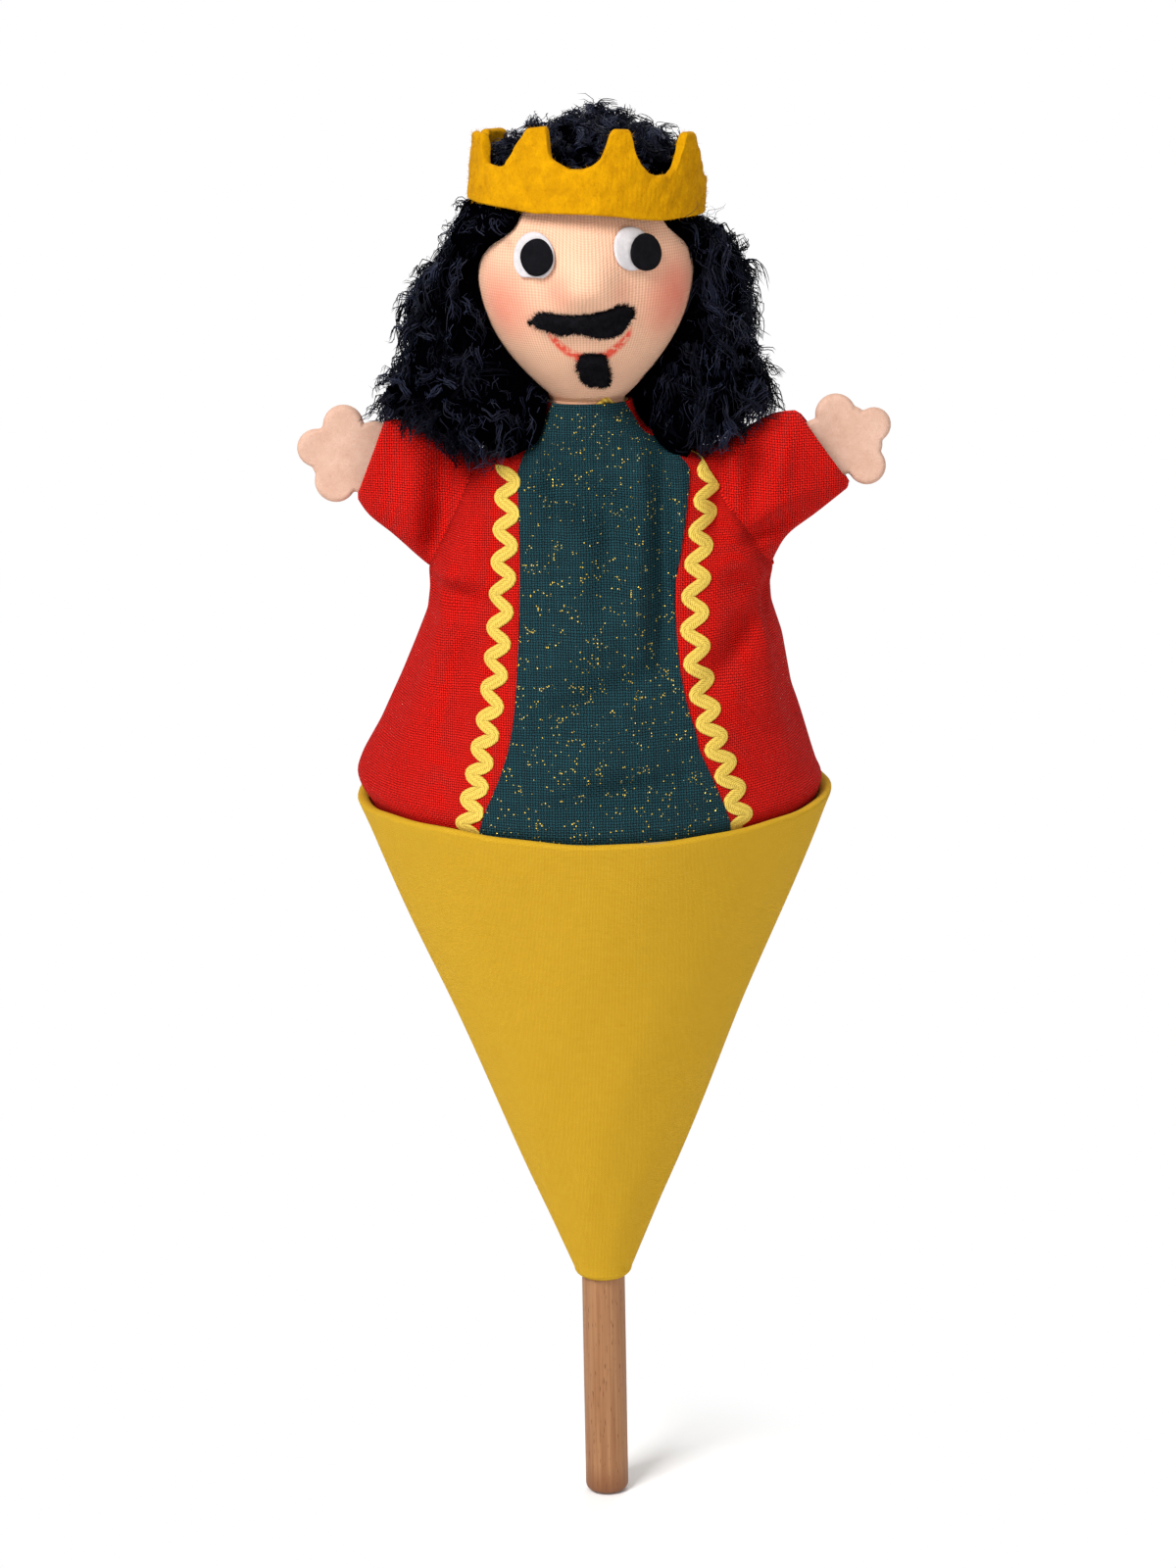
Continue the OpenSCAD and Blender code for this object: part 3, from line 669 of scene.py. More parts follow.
# Edges of the green panel and middles of the braids: height, and distance from the middle
green_left = table([[181, 27.6], [190, 27.4], [194, 26], [200, 23], [207, 20.4], [214, 19], [222, 18.2],
                    [235, 17.3], [253, 16.8], [270, 17], [274.5, 15], [278, 11.6], [285.5, 8.2]], 1.5)
green_right = table([[181, 32.2], [190, 32], [196, 29.6], [202.6, 26.7], [206.3, 25], [210, 24.5],
                     [213.6, 23.3], [217.2, 22.4], [220.8, 21.7], [224.4, 21.1], [231.7, 20.5],
                     [239, 20.2], [244.5, 20.4], [248, 21.1], [251.7, 21.8], [255.3, 22.4], [259, 23],
                     [262.5, 23.5], [266, 23.9], [270, 24.2], [274.5, 20], [278, 13], [285.5, 8.6]], 1.2)
braid_left = table([[186, 31], [192, 30], [203, 27.5], [214, 25], [225, 23.3], [244, 21.3], [262, 19.7],
                    [272, 19.3]], 3)
braid_right = table([[186, 34.9], [191, 34.6], [195, 33.6], [202, 31], [208, 28.8], [213, 27.4], [224, 25.4],
                     [235, 24.6], [254, 26.5], [263, 28.5], [272, 29.9]], 3)

# Folds of the front as they show from the front: two ends (x, z), width and height. A height below
# zero is a hollow.
front_folds = [
    (-35.4, 276, -36.4, 262, 3.6, -3.4),
    (-36.2, 264, -38.6, 249, 3.4, -5.4),
    (-43, 272, -43, 256, 4.0, 2.2),
    (-29.0, 268, -28.6, 250, 4.4, 2.4),
    (-38, 247.4, -25, 245.6, 2.6, 2.2),
    (-43, 243.2, -26, 238.6, 3.0, -5.2),
    (-36, 236.5, -24, 235.5, 3.4, 1.8),
    (-33, 231, -26, 220, 4.4, -3.0),
    (-42, 231, -38, 219, 4.6, 1.6),
    (-30, 211, -46, 204, 5.0, -1.4),
    (-53, 199, -56, 194, 3.0, -1.2),
    (49, 279, 44.5, 261, 3.2, 2.6),
    (42.4, 279, 38, 258, 3.2, -3.6),
    (36.2, 273, 36.5, 250, 3.4, 2.2),
    (33, 271, 30, 253, 2.8, -3.2),
    (52, 263, 39.5, 256.5, 3.0, 2.2),
    (48, 256.4, 36, 250, 2.4, -2.8),
    (43, 250, 31, 247.4, 3.0, 1.9),
    (30, 243, 43, 239.6, 3.6, -3.2),
    (41.5, 236.5, 29, 221, 3.8, -5.6),
    (44.4, 236, 47.4, 222, 3.2, 3.0),
    (37, 217, 48, 210, 4.6, 2.0),
    (53, 205, 38, 209, 4.4, -1.5),
    (17.6, 274, 16.8, 226, 2.9, -3.8),
    (12.6, 273, 11.0, 228, 3.4, 3.0),
    (21.6, 271, 20.6, 238, 2.2, 1.2),
    (-14, 262, 8, 246, 4.4, 2.6),
    (-14, 272, 9, 258, 4.6, -3.4),
    (-12, 226, 10, 238, 4.6, 2.6),
    (-10, 213, 14, 224, 4.4, -3.2),
    (-6, 196.5, 20, 198.5, 3.2, -2.6),
    (-10, 204, 20, 206.5, 3.8, 1.8),
    (5, 262, 3, 236, 3.4, -2.6),
    (-8, 272, -9, 250, 2.6, -1.4),
]
back_folds = [
    (-36, 272, -38, 248, 3.2, -1.2),
    (37, 272, 39, 248, 3.2, -1.2),
    (-8, 268, -14, 222, 4.5, 0.9),
    (9, 266, 18, 218, 5.0, 0.8),
    (0, 262, 2, 215, 3.5, -0.9),
    (-40, 240, -24, 230, 3.0, -1.0),
    (42, 240, 26, 228, 3.0, -1.0),
    (-20, 264, -28, 220, 4.0, -1.0),
]


def creases(folds, x, z):
    """Height of all the folds at a place."""
    total = np.zeros(np.broadcast(x, z).shape)
    for x0, z0, x1, z1, width, height in folds:
        dx, dz = x1 - x0, z1 - z0
        t = np.clip(((x - x0) * dx + (z - z0) * dz) / (dx * dx + dz * dz), 0, 1)
        away = np.hypot(x - x0 - t * dx, z - z0 - t * dz)
        ends = 0.45 + 0.55 * np.sin(np.pi * np.clip(t, 0.02, 0.98))
        total += height * ends * np.exp(-(away / width) ** 2)
    return total


ARMPIT_Z = {-1: 245.0, 1: 244.0}
# Half-depth of a sleeve from its root to its cuff
SLEEVE_DEPTH = [13.4, 12.6, 11.2, 9.4, 8.0]
# How far in from the side a sleeve's root shows in the body
ROOT_REACH = 13


def half_width(side, z):
    """Half-width of the robe's body."""
    return np.where(side < 0, half_left(z), half_right(z))


def armhole_depth(side, x, z):
    """Half-depth of the sleeve's root, which fades into the body of the robe."""
    low = np.where(side < 0, ARMPIT_Z[-1], ARMPIT_Z[1])
    c = 2 * (z - low) / (SHOULDER_Z - low) - 1
    inside = half_width(side, z) - np.abs(x)
    share = np.clip(1 - c * c, 0, 1) ** (0.5 + np.clip(inside, 0, ROOT_REACH) * 0.12)
    return SLEEVE_DEPTH[0] * share * smooth(1 - inside / ROOT_REACH)


# Reach of the fillet between sleeve and body
FILLET = 9.0


def soft_larger(a, b):
    """The larger of two depths, with a soft fillet where both are deep."""
    k = FILLET * smooth(np.minimum(a, b) / 6) + 1e-6
    h = np.clip(k - np.abs(a - b), 0, None) / k
    return np.maximum(a, b) + h * h * k / 4


def robe_wall(angle, z, lift=0.0, plain=False):
    """A point of the robe at an angle in degrees from the front, positive to +X, and a height.
    A plain wall has no folds and no armholes."""
    angle, z = np.broadcast_arrays(np.asarray(angle, float), np.asarray(z, float))
    s, c = np.sin(np.radians(angle)), np.cos(np.radians(angle))
    side = np.sign(s)
    e = 2 / squareness(z)
    across = side * np.abs(s) ** e
    toward = np.sign(c) * np.abs(c) ** e
    width = half_width(side, z)
    if plain:
        return stack(width * across, -half_depth(z) * toward, z)
    # The cloth hangs in 7 and 12 soft waves round the body
    swell = smooth((z - RIM_Z - 4) / 18) * smooth((262 - z) / 26) * (
        np.cos(np.radians(angle * 7 + 25)) + 0.7 * np.cos(np.radians(angle * 12 - 40))) / 1.7
    x = (width + swell * smooth(1.2 - np.abs(s) * 0.3)) * across
    depth = (half_depth(z) + swell) * np.abs(toward)
    depth = soft_larger(depth, armhole_depth(side, x, z))
    fade = smooth((z - RIM_Z - 1) / 8) * smooth((284 - z) / 8)
    pleat = np.where(toward > 0, creases(front_folds, x, z), creases(back_folds, x, z))
    depth = depth + pleat * fade * smooth(depth / 9)
    y = np.where(toward < 0, depth, -depth)
    out = unit(stack(across, -toward, 0.35 * smooth((z - 190) / 20)))
    return stack(x, y, z) + out * np.asarray(lift, float)[..., None]


def angle_at(side, x, z):
    """The angle at which the front of the robe is a distance from the middle."""
    share = np.clip(x / half_width(side, z), 0, 0.985)
    return side * np.degrees(np.arcsin(np.minimum(share ** (squareness(z) / 2), 0.985)))


def seam_angle(side, z):
    """The side seam lies a little behind, and at the armhole it is right at the side."""
    low = ARMPIT_Z[side]
    return 90 + 6 * (1 - smooth((z - low + 12) / 12))


# Heights of the rows of points, which lie closer at the hem and at the neck
ROBE_Z = np.concatenate([np.linspace(HEM_Z, 200, 26), np.linspace(200.8, 268, 84),
                         np.linspace(268.6, 285.5, 30)])
# The row, near the middle of the robe, in which the column nearest to the front's middle is looked for
MIDDLE_ROW = 60


def patch(from_angle, to_angle, cols, lift=0.0):
    """A grid of the robe between two angles, which may change with height, and its flat cloth.
    Threads run level, and upright from the column that is nearest to the middle of the front."""
    share = np.linspace(0, 1, cols)[None, :]
    low = np.broadcast_to(from_angle, ROBE_Z.shape)[:, None]
    high = np.broadcast_to(to_angle, ROBE_Z.shape)[:, None]
    angle, z = low + (high - low) * share, np.broadcast_to(ROBE_Z[:, None], (len(ROBE_Z), cols))
    wall = robe_wall(angle, z, plain=True)
    across, up = lengths(wall, 1), lengths(wall, 0)
    nearest = int(np.argmin(np.abs(wall[MIDDLE_ROW, :, 0]) + 100 * (wall[MIDDLE_ROW, :, 1] > 0)))
    across = across - across[:, nearest:nearest + 1] + wall[:, nearest:nearest + 1, 0]
    flat = stack(across, np.broadcast_to(up.mean(axis=1, keepdims=True), up.shape), 0)
    return robe_wall(angle, z, lift), flat


def hang(obj):
    """Bakes the place of a piece of the robe into its mesh."""
    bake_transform(obj)


# How far the red fronts go on under the green panel, and how far the panel lies over them
UNDER = 2.2
GREEN_LIFT = 0.55


def robe_pieces():
    """The red fronts and backs by side, and the green panel over them."""
    edge = {-1: green_left(ROBE_Z), 1: green_right(ROBE_Z)}
    made = {}
    for side, name in SIDES.items():
        tuck = angle_at(side, edge[side] - UNDER, ROBE_Z)
        seam = side * seam_angle(side, ROBE_Z)
        pair = (seam, tuck) if side < 0 else (tuck, seam)
        grid, flat = patch(*pair, 90)
        front = cloth(f"robe_front_{name}_cloth", grid, flat, CLOTH_T, RED)
        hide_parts(f"robe_front_{name}")
        pair = (seam, 180.0) if side > 0 else (180.0, 360 + seam)
        grid, flat = patch(*pair, 60)
        back = cloth(f"robe_back_{name}_cloth", grid, flat, CLOTH_T, RED)
        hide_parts("robe_back")
        for obj in (front, back):
            hang(obj)
        made[side] = (front, back)
    low, high = angle_at(-1, edge[-1], ROBE_Z), angle_at(1, edge[1], ROBE_Z)
    grid, flat = patch(low, high, 110, GREEN_LIFT)
    panel = cloth("front_panel_cloth", grid, flat, 0.45, GREEN)
    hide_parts("front_panel")
    hang(panel)
    return made, panel


def rickrack(side, centre, crests):
    """A wavy plaited band, drawn along its middle line with the same width all the way.
    Crests are the heights of the outer bends."""
    # Points across the band, its swing to each side and its half-width, and points for each wave
    across, swing, half, fine = 9, 1.78, 1.42, 24
    count = fine * len(crests)
    low = RIM_Z - 1.4
    share = np.linspace(0, 1, count)
    z = low + (crests[-1] + (3.8 if side < 0 else 2) - low) * share
    wave = np.interp(z, crests, np.arange(len(crests))) + np.clip(z - crests[-1], 0, None) / 7.0
    phase = 2 * math.pi * (wave + 0.25)
    x = centre(z) + swing * np.sin(phase) * side
    line = np.stack([x, z], axis=1)
    along = unit(np.gradient(line, axis=0))
    normal = np.stack([along[:, 1], -along[:, 0]], axis=1)
    u = np.linspace(-1, 1, across) * side
    flat_x = line[:, None, 0] + normal[:, None, 0] * half * u
    flat_z = line[:, None, 1] + normal[:, None, 1] * half * u
    # Inside a bend the band's edges meet in a corner at the height of the bend
    bend = np.floor(phase / math.pi - 0.5)
    low_z = np.interp((bend + 0.5) * math.pi, phase, z)
    high_z = np.interp((bend + 1.5) * math.pi, phase, z)
    flat_z = np.clip(flat_z, low_z[:, None], high_z[:, None])
    edge = green_left(flat_z) if side < 0 else green_right(flat_z)
    over = smooth((edge + 0.8 - flat_x) / 1.0)
    crown_lift = 0.55 * np.sqrt(np.clip(1 - (u * 0.93) ** 4, 0, 1))[None, :]
    fade = smooth((z - RIM_Z - 0.2) / 2)[:, None] * smooth((1 - share) * 30)[:, None]
    base = 0.08 + 0.5 * over * fade
    angle = angle_at(side, flat_x, flat_z)
    outer = robe_wall(angle, flat_z, base + crown_lift * (0.2 + 0.8 * fade))
    inner = robe_wall(angle, flat_z, base)
    length = lengths(line[:, None, :], 0)
    flat = stack(half * u * np.ones((count, 1)), length * np.ones(across), 0)
    name = "rickrack_" + SIDES[side]
    made = piece(name + "_band", both_faces(outer, inner), slab_faces(count, across), BRAID,
                 {"flat": both_faces(flat, flat)}, sharp=70)
    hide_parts(name)
    hang(made)
    return made


robe, green_panel = robe_pieces()
bands = [
    rickrack(-1, braid_left, [182.6, 188, 193.6, 199, 204.3, 210.4, 216.7, 223.9, 231, 238.2, 246, 253.2,
                              260.6, 267.6]),
    rickrack(1, braid_right, [179.2, 185, 190.9, 196.8, 202.9, 208.8, 215, 221.7, 229.4, 237.1, 244.7,
                              252.1, 259, 265.7, 272.2])]

for side in SIDES:
    for part in robe[side]:
        declare_cloth(part)
declare_cloth(green_panel)


# Sleeves and hands

# The upper and lower outlines of each sleeve, from the body to the cuff
SLEEVES = {
    -1: {"top": [[27.6, 272.4], [33, 274.8], [37.5, 277.6], [42.5, 280.4], [49.6, 281.5]],
         "under": [[40.8, 245.4], [43.4, 248.2], [48.5, 253], [54.2, 257.8], [57.2, 262.3]]},
    1: {"top": [[27.6, 272.4], [33, 274.6], [38.2, 277.4], [45.2, 280.9], [51.5, 281.7]],
        "under": [[44.6, 243], [46.3, 247.4], [49.4, 251.6], [56, 256.4], [64.6, 263.1]]},
}


def fold_away(obj, side):
    """Hangs a piece of an arm on that arm's body, with a mesh of its own."""
    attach(obj, SIDES[side] + "_arm")
    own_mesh(obj)


def sleeve(side):
    """A wide sleeve, open at its cuff."""
    arm = SLEEVES[side]
    name = SIDES[side]
    rows, cols = 60, 84
    s = np.linspace(0, 4, rows)[:, None]
    around = np.radians(np.arange(cols) * 360 / cols)[None, :]
    top, under = spline(arm["top"], s[:, 0]), spline(arm["under"], s[:, 0])
    middle, half = (top + under)[:, None] / 2, (top - under)[:, None] / 2
    c, f = np.cos(around), np.sin(around)
    place = middle + half * c[..., None]
    low = ARMPIT_Z[side]
    root_z = low + (SHOULDER_Z - low) * (1 + c) / 2
    root = stack(half_width(side, root_z), root_z, 0)[..., :2]
    near = (1 - smooth(s / 1.2))[..., None]
    place = place * (1 - near) + root * near
    x, z = side * place[..., 0], place[..., 1]
    depth = np.interp(s, range(5), SLEEVE_DEPTH) * np.abs(f)
    pleat = np.where(f > 0, creases(front_folds, x, z), creases(back_folds, x, z))
    depth = depth + pleat * smooth(depth / 9)
    # The cuff is turned in, so its last millimetres draw in a little
    tuck = smooth((s - 3.8) / 0.2) * 0.7
    x = x - (x - side * middle[..., 0]) * tuck * 0.12
    z = z - (z - middle[..., 1]) * tuck * 0.12
    y = -np.sign(f) * np.clip(depth - tuck * 0.6, 0, None)
    # Sleeve and body are cut in one and folded over the top, so the threads run level and upright
    flat = stack(side * x, np.where(f >= 0, z, 2 * z[:, :1] - z), 0)
    grid = stack(x, y, z)
    if side < 0:
        grid, flat = grid[:, ::-1], flat[:, ::-1]
    made = cloth(f"sleeve_{name}_cloth", grid, flat, CLOTH_T, RED, ring=True)
    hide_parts(f"sleeve_{name}")
    fold_away(made, side)
    declare_cloth(made)


def pad(name, place, reach, thick, material, rings=12, cols=96):
    """A flat piece with soft edges. place(u, v, lift) sets a point of the flat on its ground,
    and reach(angle) is the outline's distance from the middle."""
    share = np.sin(np.linspace(0, math.pi / 2, rings))
    turn = np.radians(np.arange(cols) * 360 / cols)
    radius = reach(turn)
    u = share[:, None] * radius * np.cos(turn)
    v = share[:, None] * radius * np.sin(turn)
    # The edge is rounded over half the thickness
    inset = (1 - share)[:, None] * radius / (thick * 0.5 + 1e-6)
    swell = np.sqrt(np.clip(1 - np.clip(1 - inset, 0, 1) ** 2, 0, 1))
    top = place(u, v, thick * (0.5 + 0.5 * swell))
    bottom = place(u, v, thick * (0.5 - 0.5 * swell))
    grid = np.concatenate([top, bottom[::-1][1:]])
    flat = np.concatenate([stack(u, v, 0), stack(u, v, 0)[::-1][1:]]).reshape(-1, 3)
    faces = sheet_faces(len(grid), cols, ring=True)[:, ::-1]
    return piece(name, grid, faces, material, {"flat": flat}, sharp=0)


def lobed(middle, circles, wrist):
    """Outline of the hand: the far side of round lobes, seen from the palm's middle."""
    middle = np.array(middle, float)

    def reach(turn):
        way = np.stack([np.cos(turn), np.sin(turn)], axis=-1)
        far = []
        for cx, cz, r in circles + wrist:
            to = np.array([cx, cz]) - middle
            along = way @ to
            gap = r * r - (to @ to - along ** 2)
            far.append(np.where(gap > 0, along + np.sqrt(np.clip(gap, 0, None)), 0))
        return soften(np.max(far, axis=0), 1)

    return reach


# Circles that the outline of each hand goes round: middle (x, z) and radius
HANDS = {
    -1: {"palm": (-58.6, 273.7, 7.6),
         "lobes": [(-59.9, 280.2, 4.95), (-66.6, 274.5, 4.8), (-62.3, 266.1, 5.1), (-62, 277, 4.2),
                   (-63.8, 270.6, 4.1)],
         "wrist": [(-52.5, 275.4, 5.4), (-55.5, 268, 4.8), (-50.5, 269.5, 5.6)]},
    1: {"palm": (63.2, 275, 7.6),
        "lobes": [(60.7, 280.6, 5.0), (70, 277.7, 4.3), (68.3, 267.8, 4.7), (64.5, 278.6, 3.9),
                  (68.2, 273, 4)],
        "wrist": [(56.5, 273.5, 6.0), (54, 269, 5.6), (61, 269.4, 4.4)]},
}


HAND_T = 3.2


def hand(side):
    """Two layers of felt, a little bowed, which stick out of the cuff."""
    own = HANDS[side]
    middle = own["palm"][:2]
    reach = lobed(middle, [own["palm"]] + own["lobes"], own["wrist"])

    def place(u, v, lift):
        x, z = middle[0] + u, middle[1] + v
        bow = 0.02 * (x - middle[0]) * (z - middle[1]) + 0.6 * np.sin(x * 0.35)
        return stack(x, HAND_T / 2 - lift + bow * 0.4, z)

    name = SIDES[side]
    made = pad(f"hand_{name}_felt", place, reach, HAND_T, HAND_FELT, rings=22, cols=144)
    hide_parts(f"hand_{name}")
    fold_away(made, side)
    declare_cloth(made)


for side in SIDES:
    sleeve(side)
    hand(side)


# Head

def skull_r(z):
    """Radius of the stuffed head at a height."""
    z = np.asarray(z, float)
    dome = HEAD_R * np.sqrt(np.clip(1 - ((z - HEAD_Z) / DOME) ** 2, 0, 1))
    chin = NECK_R + (HEAD_R - NECK_R) * (1 - np.clip((HEAD_Z - z) / CHIN_DROP, 0, 1) ** 2)
    return np.where(z >= HEAD_Z, dome, chin)


def nose(x, z):
    """How far the stuffed nose pushes the jersey out."""
    below = np.where(z < NOSE_AT[1], 6.4, 8.2)
    return NOSE_OUT * np.exp(-np.abs((x - NOSE_AT[0]) / 7.4) ** 2.6 - np.abs((z - NOSE_AT[1]) / below) ** 2.6)


def head_point(angle, z, lift=0.0):
    """A point of the jersey at an angle in radians from the front."""
    angle, z = np.broadcast_arrays(np.asarray(angle, float), np.asarray(z, float))
    r = skull_r(z)
    x = r * np.sin(angle)
    push = np.where(np.cos(angle) > 0, nose(x, z), 0)
    steep = (skull_r(z - 0.5) - skull_r(z + 0.5))
    out = unit(stack(np.sin(angle), -np.cos(angle), steep))
    return stack(x, -r * np.cos(angle) - push, z) + out * np.asarray(lift, float)[..., None]


def head():
    """The jersey skin, from the neck to the top."""
    cols = 260
    neck = HEAD_Z - CHIN_DROP - 5
    top = HEAD_Z + DOME
    below = np.linspace(neck, HEAD_Z, 80)
    above = HEAD_Z + DOME * np.sin(np.linspace(0, math.pi / 2, 50))[1:]
    z = np.concatenate([below, above[:-1], [top - 0.02]])
    angle = np.radians(np.arange(cols) * 360 / cols - 180)
    grid = head_point(angle[None, :], z[:, None])
    inner = grid - outward(grid, ring=True) * 0.8
    height = lengths(grid, 0)
    flat = stack(HEAD_R * angle[None, :] * np.ones_like(height), height, 0)
    made = piece("head_skin_jersey", both_faces(grid, inner), slab_faces(len(z), cols, ring=True), JERSEY,
                 {"flat": both_faces(flat, flat)}, sharp=60)
    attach(made, "puppet")
    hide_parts("head_skin")


head()


def on_face(at_x, at_z):
    """Places a flat shape on the face, round a point seen from the front."""
    start = math.asin(at_x / float(skull_r(at_z)))

    def place(u, v, lift):
        # The face slopes, so a length along it rises a little less
        z = at_z + v * 0.985
        return head_point(start + u / skull_r(z), z, lift)

    return place


def roundish(r, wobble, flat_low=None):
    """A hand-cut disc: nearly round, and flat at the bottom where flat_low is given."""

    def reach(turn):
        out = r * (1 + sum(a * np.cos(k * turn + p) for k, a, p in wobble))
        if flat_low is not None:
            low = flat_low / np.maximum(-np.sin(turn), 1e-3)
            out = np.where(np.sin(turn) < -0.05, np.minimum(out, low), out)
        return out

    return reach


EYE_FELT_T = 1.15
# Name, x, z, radius, waves of the outline, how far down the flat lower edge is, height over the jersey
EYE_WHITES = [
    ("eye_white_left", -12.0, 322.9, 5.55, [(2, 0.035, 3.1), (3, 0.02, 1.0)], 4.9, 0.05),
    ("eye_white_right", 11.2, 324.4, 5.0, [(2, 0.03, 2.6), (3, 0.02, 0.3)], None, 0.05),
]
PUPILS = [
    ("pupil_left", -10.8, 322.8, 4.1, [(2, 0.035, 3.0), (4, 0.015, 0.7)], None, 1.22),
    ("pupil_right", 13.7, 323.3, 4.15, [(2, 0.03, 3.2), (3, 0.02, 1.7)], None, 1.22),
]


def face_felts():
    """The eyes: white felt laid on the jersey, and black pupils laid on it."""
    made = {}
    for rows, finish, slot in ((EYE_WHITES, WHITE_FELT, "white_felt"), (PUPILS, BLACK_FELT, "black_felt")):
        for name, x, z, r, wobble, low, lie in rows:
            ground = on_face(x, z)
            made[name] = pad(name + "_felt", lambda u, v, lift, g=ground, b=lie: g(u, v, lift + b),
                             roundish(r, wobble, low), EYE_FELT_T, finish)
            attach(made[name], "puppet")
            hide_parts(name)
    for side in SIDES.values():
        declare_cloth(made[f"eye_white_{side}"])


face_felts()


THIRDS = (0.0, 2.0944, 4.1888)


def strands(lines, radius, seed):
    """Thin three-sided tubes along lines, an array of strands by points by three."""
    rng = np.random.default_rng(seed)
    count, steps = lines.shape[:2]
    along = unit(np.gradient(lines, axis=1))
    aside = unit(np.cross(along, unit(rng.normal(size=(count, 1, 3)))))
    other = np.cross(along, aside)
    share = np.linspace(0, 1, steps)[None, :, None]
    thick = np.broadcast_to(radius, (count,))[:, None, None] * (1 - 0.55 * share)
    # Each strand comes to a point at its tip
    thick = thick * np.where(share > 0.999, 0.08, 1)
    rings = [lines + thick * (math.cos(a) * aside + math.sin(a) * other) for a in THIRDS]
    points = np.stack(rings, axis=2).reshape(-1, 3)
    n, i, k = np.meshgrid(np.arange(count), np.arange(steps - 1), np.arange(3), indexing="ij")
    start = (n * steps + i) * 3
    here, there = start + k, start + (k + 1) % 3
    faces = np.stack([here, there, there + 3, here + 3], axis=-1).reshape(-1, 4)
    return points, faces


def join(parts):
    """Joins (points, faces, tone) groups into one."""
    points, faces, tones, total = [], [], [], 0
    for p, f, tone in parts:
        p = np.asarray(p, float).reshape(-1, 3)
        points.append(p)
        faces.append(f + total)
        tones.append(np.broadcast_to(tone, len(p)))
        total += len(p)
    return np.concatenate(points), np.concatenate(faces), np.concatenate(tones)


def scatter(points, faces, count, rng):
    """Random places on faces with four corners, even over their area, with the faces' normals."""
    p = points[faces]
    normal = np.cross(p[:, 2] - p[:, 0], p[:, 3] - p[:, 1])
    area = np.linalg.norm(normal, axis=1)
    pick = rng.choice(len(faces), count, p=area / area.sum())
    a, b = rng.random((2, count, 1))
    q = p[pick]
    place = (q[:, 0] * (1 - a) + q[:, 1] * a) * (1 - b) + (q[:, 3] * (1 - a) + q[:, 2] * a) * b
    return place, unit(normal[pick])


def fuzz_lines(place, normal, length, rng, lean):
    """Short stray fibres that stand off a surface."""
    count = len(place)
    way = unit(normal + lean * rng.normal(size=(count, 3)))
    side = unit(np.cross(way, rng.normal(size=(count, 3))))
    t = np.linspace(0, 1, 4)[None, :, None]
    size = (length * rng.uniform(0.5, 1.2, count))[:, None, None]
    return place[:, None] + size * (way[:, None] * t + side[:, None] * 0.5 * t ** 2)


def flocked(name, grid, base, count, seed):
    """A felt shape, and the loose fibres that make its face and edges fuzzy."""
    rng = np.random.default_rng(seed)
    rows, cols = grid.shape[:2]
    faces = slab_faces(rows, cols)
    points = both_faces(grid, base)
    flat = stack(lengths(grid, 1), lengths(grid, 0), 0)
    made = piece(name, points, faces, BLACK_FELT, {"flat": both_faces(flat, flat)})
    place, normal = scatter(points, faces[:(rows - 1) * (cols - 1)], count, rng)
    face_lines = fuzz_lines(place, normal, 1.0, rng, lean=1.1)
    rim = np.concatenate([grid[0], grid[-1], grid[:, 0], grid[:, -1]])
    pick = rim[rng.integers(0, len(rim), count)]
    away = unit((pick - points.mean(axis=0)) * [0.5, 1, 1])
    edge_lines = fuzz_lines(pick, away, 1.1, rng, lean=1.0)
    thick = 0.07
    fibres, faces, _ = join([(*strands(face_lines, thick, seed + 1), 0),
                             (*strands(edge_lines, thick, seed + 2), 0)])
    fuzz = piece(name + "_fuzz", fibres, faces, BLACK_FELT, sharp=0)
    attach(made, "puppet")
    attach(fuzz, "puppet")
    declare_cloth(made)
    return made


def strip(xs, low, high, thick, seed):
    """A padded strip on the face between two edges, given at the same xs."""
    across = 13
    t = np.linspace(0, 1, across)[:, None]
    ragged = 0.22 * wander(stack(xs * 3.0, 0, np.zeros_like(xs)), 3.0, seed)
    z = (low + ragged)[None, :] * (1 - t) + (high - ragged * 0.7)[None, :] * t
    x = np.broadcast_to(xs, z.shape)
    angle = np.arcsin(np.clip(x / skull_r(z), -1, 1))
    ends = smooth(np.linspace(0, 1, len(xs)) * 8) * smooth((1 - np.linspace(0, 1, len(xs))) * 8)
    lump = 1 + 0.24 * wander(stack(x, 0, z), 3.2, seed + 1)
    swell = np.sqrt(np.clip(1 - (2 * t - 1) ** 4, 0, 1)) * (0.35 + 0.65 * ends) * lump
    return head_point(angle, z, 0.1 + thick * swell), head_point(angle, z, 0.05)


def moustache():
    """Black felt under the nose, cut along an upper and a lower edge (x, z)."""
    upper = [[-13.0, 307.4], [-10.8, 309.5], [-6, 309.1], [-1, 309.1], [4, 310.0], [8.2, 311.1],
             [10.9, 310.3]]
    lower = [[-12.8, 307.0], [-9.5, 305.6], [-6, 304.5], [-1.5, 304.8], [3, 303.4], [7.6, 304.2],
             [10.9, 308.0]]
    s = np.linspace(0, 6, 70)
    top, bottom = spline(upper, s), spline(lower, s)
    xs = np.linspace(-12.9, 10.9, 70)
    high = np.interp(xs, top[:, 0], top[:, 1])
    low = np.interp(xs, bottom[:, 0], bottom[:, 1])
    made = flocked("moustache_felt", *strip(xs, low, high, 1.7, 5), 900, 21)
    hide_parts("moustache")


